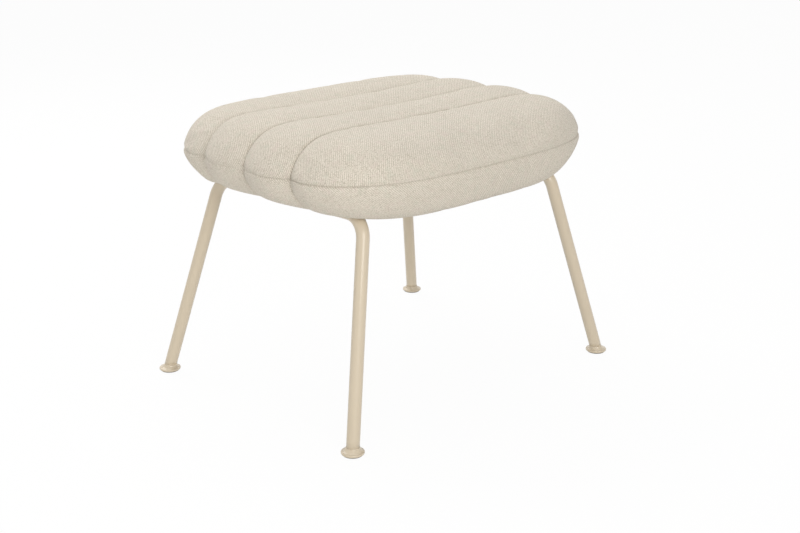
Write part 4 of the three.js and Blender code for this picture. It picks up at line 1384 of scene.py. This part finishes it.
# %% The eight screws
screw_profile = [(0, -1.4), (2.31, -1.6), (2.31, -3.5), (2.6, -3.6), (3.7, -3.5), (4.6, -3.05)]
screw_profile += [(5.25, -2.3), (5.5, -1.4), (5.5, -0.2), (5.3, 0), (2.9, 0), (2.9, 3.4)]
screw_profile += [(2.45, 3.8), (2.45, 16.8), (1.9, 17.4), (0, 17.4)]
ridge_profile = ((2.4, 3.6), (2.98, 4.0), (2.4, 4.4))
thread_turns, thread_steps = 12, 16
hexagon_turn = 60  # degrees from one corner of the socket to the next
socket_inside, socket_outside = 2 * MM, 2.35 * MM
seat = plate_bottom - 0.3 * MM
for k in range(1, 9):
    low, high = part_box(f"screw_{k}")
    bm = bmesh.new()
    for vertex in turned(bm, screw_profile, steps=48):
        radius = vertex.co.xy.length
        if socket_inside < radius < socket_outside and vertex.co.z < -1 * MM:
            turn = math.degrees(math.atan2(vertex.co.y, vertex.co.x)) % hexagon_turn
            off_side = math.radians(turn - hexagon_turn / 2)
            vertex.co.xy *= math.cos(math.radians(hexagon_turn / 2)) / math.cos(off_side)
    ridge = [bm.verts.new((x * MM, 0, z * MM)) for x, z in ridge_profile]
    edges = [bm.edges.new(pair) for pair in zip(ridge, ridge[1:] + ridge[:1])]
    bmesh.ops.spin(
        bm, geom=ridge + edges, cent=(0, 0, 0), axis=(0, 0, 1), dvec=(0, 0, MM / thread_steps),
        angle=thread_turns * 2 * math.pi, steps=thread_turns * thread_steps,
        use_merge=False, use_normal_flip=False, use_duplicate=False,
    )
    bmesh.ops.holes_fill(bm, edges=bm.edges[:], sides=3)
    middle = (low + high) / 2
    bmesh.ops.translate(bm, verts=bm.verts, vec=(middle.x, middle.y, seat))
    bmesh.ops.recalc_face_normals(bm, faces=bm.faces)
    add_piece(bm, f"socket_screw_{k}", zinc, [f"screw_{k}"])
print("screws: 8")

# %% [markdown]
# ## The dust cloth
# A thin black spunbond sheet closes the underside. It is stapled flat all round, so it is
# stretched, but the staples pull small dimples and the middle sags a little between them.
# A square grid is pressed into the outline of the underside by drawing each point in along
# its line to the middle. Eight holes let the screws through.

# %% The sheet
dust_outline = (227 * MM, 181 * MM, 0)
dust_hole_radius = 4.2 * MM
bm = bmesh.new()
bmesh.ops.create_grid(bm, x_segments=64, y_segments=52, size=1)
for vertex in bm.verts:
    u, v = vertex.co.x, vertex.co.y
    square = max(abs(u), abs(v), 1e-9)
    level = max(outline_level(u / square, v / square, (1, 1, 0)), 1e-9)
    x, y = u * dust_outline[0] / level, v * dust_outline[1] / level
    vertex.co = (x, y, dust_bottom + dust_thickness)
hole_places = [
    (sx * run_x + side * screw_x, sy * plate_y) for sx, sy in corners for side in signs
]
for x, y in hole_places:
    middle = min(bm.verts, key=lambda vertex: math.dist(vertex.co.xy, (x, y)))
    around = {vertex for face in middle.link_faces for vertex in face.verts} - {middle}
    for vertex in around:
        turn = math.atan2(vertex.co.y - middle.co.y, vertex.co.x - middle.co.x)
        vertex.co.x = x + dust_hole_radius * math.cos(turn)
        vertex.co.y = y + dust_hole_radius * math.sin(turn)
    bmesh.ops.delete(bm, geom=[middle], context="VERTS")
dust_area = sum(face.calc_area() for face in bm.faces)
print("dust cloth:", round(dust_area, 4), "square metres")

# %% Its slack, and its place on the frame
slow_slack, fine_slack, staple_pull = 0.22 * MM, 0.1 * MM, 0.1 * MM
for vertex in bm.verts:
    level = outline_level(vertex.co.x, vertex.co.y, dust_outline)
    slack = noise.noise(vertex.co * 14) * slow_slack + noise.noise(vertex.co * 45) * fine_slack
    vertex.co.z += (slack - staple_pull) * min(1, max(0, (1 - level) / 0.1)) * 0.9
bmesh.ops.recalc_face_normals(bm, faces=bm.faces)
if sum(face.normal.z for face in bm.faces) < 0:
    bmesh.ops.reverse_faces(bm, faces=bm.faces)
dust_sheet = add_piece(bm, "dust_sheet", dust_cloth, ["dust_cover"])
thick = dust_sheet.modifiers.new("cloth thickness", "SOLIDIFY")
thick.thickness, thick.offset = dust_thickness, -1
print("dust cloth:", round(dust_thickness / MM, 1), "mm thick")

# %% [markdown]
# ## Staples
# Two rows of staples go up into the board: one holds the hem of the cover, the other the
# dust cloth over it. A staple is a bent wire, so a small square is pushed round three
# sides. There are many, so each has only a few faces, and all are one piece.

# %% Rows of staples
def outline_walk(outline, spacing):
    """Places at even steps round an outline, with the direction of the outline there."""
    length, width = outline[:2]
    angle = np.linspace(0, 2 * math.pi, 4001)
    c, s = np.cos(angle), np.sin(angle)
    x = length * np.sign(c) * np.abs(c) ** (2 / outline_power)
    y = width * np.sign(s) * np.abs(s) ** (2 / outline_power)
    gone = np.concatenate([[0], np.cumsum(np.hypot(np.diff(x), np.diff(y)))])
    count = round(gone[-1] / spacing)
    for number in range(count):
        here = (number + 0.5) * gone[-1] / count
        place = Vector((np.interp(here, gone, x), np.interp(here, gone, y), 0))
        ahead = Vector((np.interp(here + MM, gone, x), np.interp(here + MM, gone, y), 0))
        yield place, math.atan2(ahead.y - place.y, ahead.x - place.x)


wire, half_staple, staple_leg, staple_bend = 0.55 * MM, 5 * MM, 5 * MM, 0.6 * MM
wire_corner = 0.7  # from the middle of the square wire to its corner, as a share of its side
right, rising = Vector((1, 0, 0)), Vector((0, 0, 1))


def staple(bm, place, turn, crown_bottom):
    quarter = Matrix.Rotation(math.pi / 4, 4, "Z")
    tip = Matrix.Translation((-half_staple, 0, staple_leg)) @ quarter
    before = set(bm.verts)
    ring = bmesh.ops.create_circle(bm, segments=4, radius=wire * wire_corner, matrix=tip)["verts"]
    first = edges = list({edge for vertex in ring for edge in vertex.link_edges})
    inset = half_staple - staple_bend
    edges = push_ring(bm, edges, rising * (staple_bend - staple_leg), 1)
    edges = bend_ring(bm, edges, Vector((-inset, 0, staple_bend)), -rising, right, 2)
    edges = push_ring(bm, edges, right * 2 * inset, 1)
    edges = bend_ring(bm, edges, Vector((inset, 0, staple_bend)), right, rising, 2)
    edges = push_ring(bm, edges, rising * (staple_leg - staple_bend), 1)
    made = [vertex for vertex in bm.verts if vertex not in before]
    bmesh.ops.holes_fill(bm, edges=first + edges, sides=4)
    bmesh.ops.translate(bm, verts=made, vec=(0, 0, crown_bottom + wire / 2))
    bmesh.ops.rotate(bm, cent=(0, 0, 0), matrix=Matrix.Rotation(turn, 3, "Z"), verts=made)
    bmesh.ops.translate(bm, verts=made, vec=place)


# Each row: its outline, the space between staples, and the height of their undersides
rows_of_staples = (
    ((231.2 * MM, 185.2 * MM, 0), 24 * MM, hem_z - wire),
    ((222 * MM, 176 * MM, 0), 34 * MM, dust_bottom - 0.5 * MM),
)
most_askew = 0.25  # radians
bm = bmesh.new()
for outline, spacing, height in rows_of_staples:
    for number, (place, turn) in enumerate(outline_walk(outline, spacing)):
        askew = noise.noise(place * 90 + Vector((0, 0, number)))
        staple(bm, place, turn + most_askew * askew, height)
bmesh.ops.recalc_face_normals(bm, faces=bm.faces)
print("staples:", len(bm.faces), "faces in all")
add_piece(bm, "staples", zinc, [])

# %% [markdown]
# ## Finishes for the solids that stay
# The board and the tee nuts keep their own solids and only get a finish.

# %% Finishes
def refinish(node, material):
    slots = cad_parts[node].material_slots
    for k in range(len(slots)):
        slots[k].material = material


refinish("seat_board", plywood)
for k in range(1, 9):
    refinish(f"tee_nut_{k}", zinc)
print("kept solids: 9")

# %% [markdown]
# ## The floor
# The stool stands on a plain white ground with hardly any shadow. To the camera, and in
# reflections, the ground glows white on its own, mixed with a little of its lit surface,
# which keeps the faint shadow under the stool. To every other ray it is a pale matt floor,
# which sends soft light back up.

# %% The ground
def seen_rays(tree):
    """1 for rays from the camera, in reflections and through clear things, and 0 for others."""
    ray = tree.add("LightPath").outputs
    seen = tree.math("MAXIMUM", ray["Is Camera Ray"], ray["Is Glossy Ray"])
    return tree.math("MAXIMUM", seen, ray["Is Transmission Ray"])


ground, tree, shader = new_finish("ground")
cloud(tree, shader, object_place(tree), 0.5, 0.01, paint(243, 243, 242))
shader.inputs["Roughness"].default_value = 0.9
shader.inputs["Specular IOR Level"].default_value = 0.1
glow_share = 0.955  # the rest is the lit surface, with its shadow
glow = tree.math("MULTIPLY", seen_rays(tree), glow_share)
white = tree.add("Emission", {"Color": (1, 1, 1, 1), "Strength": 1.0})
blend = tree.add("MixShader", {0: glow, 1: shader.outputs[0], 2: white.outputs[0]})
tree.feed(ground.node_tree.nodes["Material Output"].inputs["Surface"], blend.outputs[0])
bm = bmesh.new()
bmesh.ops.create_grid(bm, x_segments=8, y_segments=8, size=14)
floor_mesh = bpy.data.meshes.new("floor")
bm.to_mesh(floor_mesh)
bm.free()
floor = bpy.data.objects.new("floor", floor_mesh)
scene.collection.objects.link(floor)
floor_mesh.materials.append(ground)
floor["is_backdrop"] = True
print("floor:", round(floor.dimensions.x), "m wide")

# %% [markdown]
# ## Light
# The photograph has even studio light: a white surround, a large low lamp in front of the
# long side, which makes that side the brightest, a weak one on the left, one overhead and
# one behind, which lights the far slope of every channel. The level is set so that a colour
# looks on the stool as it is written above.

# %% The surround
world = bpy.data.worlds.new("studio")
scene.world = world
world.use_nodes = True
tree = Wiring(world.node_tree)
sky = world.node_tree.nodes["Background"]
lit, white_seen = 0.46, 1.0  # the surround's strength on the stool and in the picture
tree.feed(sky.inputs["Strength"], tree.between(seen_rays(tree), lit, white_seen))
sky.inputs["Color"].default_value = (1, 1, 1, 1)
print("surround:", lit, "on the stool")

# %% The lamps
aim, lamp_colour = Vector((0, 0, 0.25)), (1.0, 0.99, 0.97)


def lamp(name, place, size, power):
    data = bpy.data.lights.new(name, "AREA")
    data.shape, data.size, data.size_y, data.energy = "RECTANGLE", size[0], size[1], power
    data.color = lamp_colour
    thing = bpy.data.objects.new(name, data)
    scene.collection.objects.link(thing)
    thing.location = place
    thing.rotation_mode = "QUATERNION"
    thing.rotation_quaternion = (aim - Vector(place)).to_track_quat("-Z", "Y")


lamp("lamp_front", (-1.2, -2.3, 1.3), (1.6, 1.1), 32)
lamp("lamp_left", (-2.6, 0.4, 1.2), (1.4, 1.2), 5)
lamp("lamp_behind", (0.3, 1.9, 2.1), (2.2, 1.6), 37)
lamp("lamp_above", (0, 0, 3), (2.2, 1.8), 16)
scene.view_settings.view_transform = "Standard"
print("lamps: 4")

# %% The size of the dressed stool
low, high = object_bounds()
print("dressed:", [round(v, 4) for v in (*low, *high)])
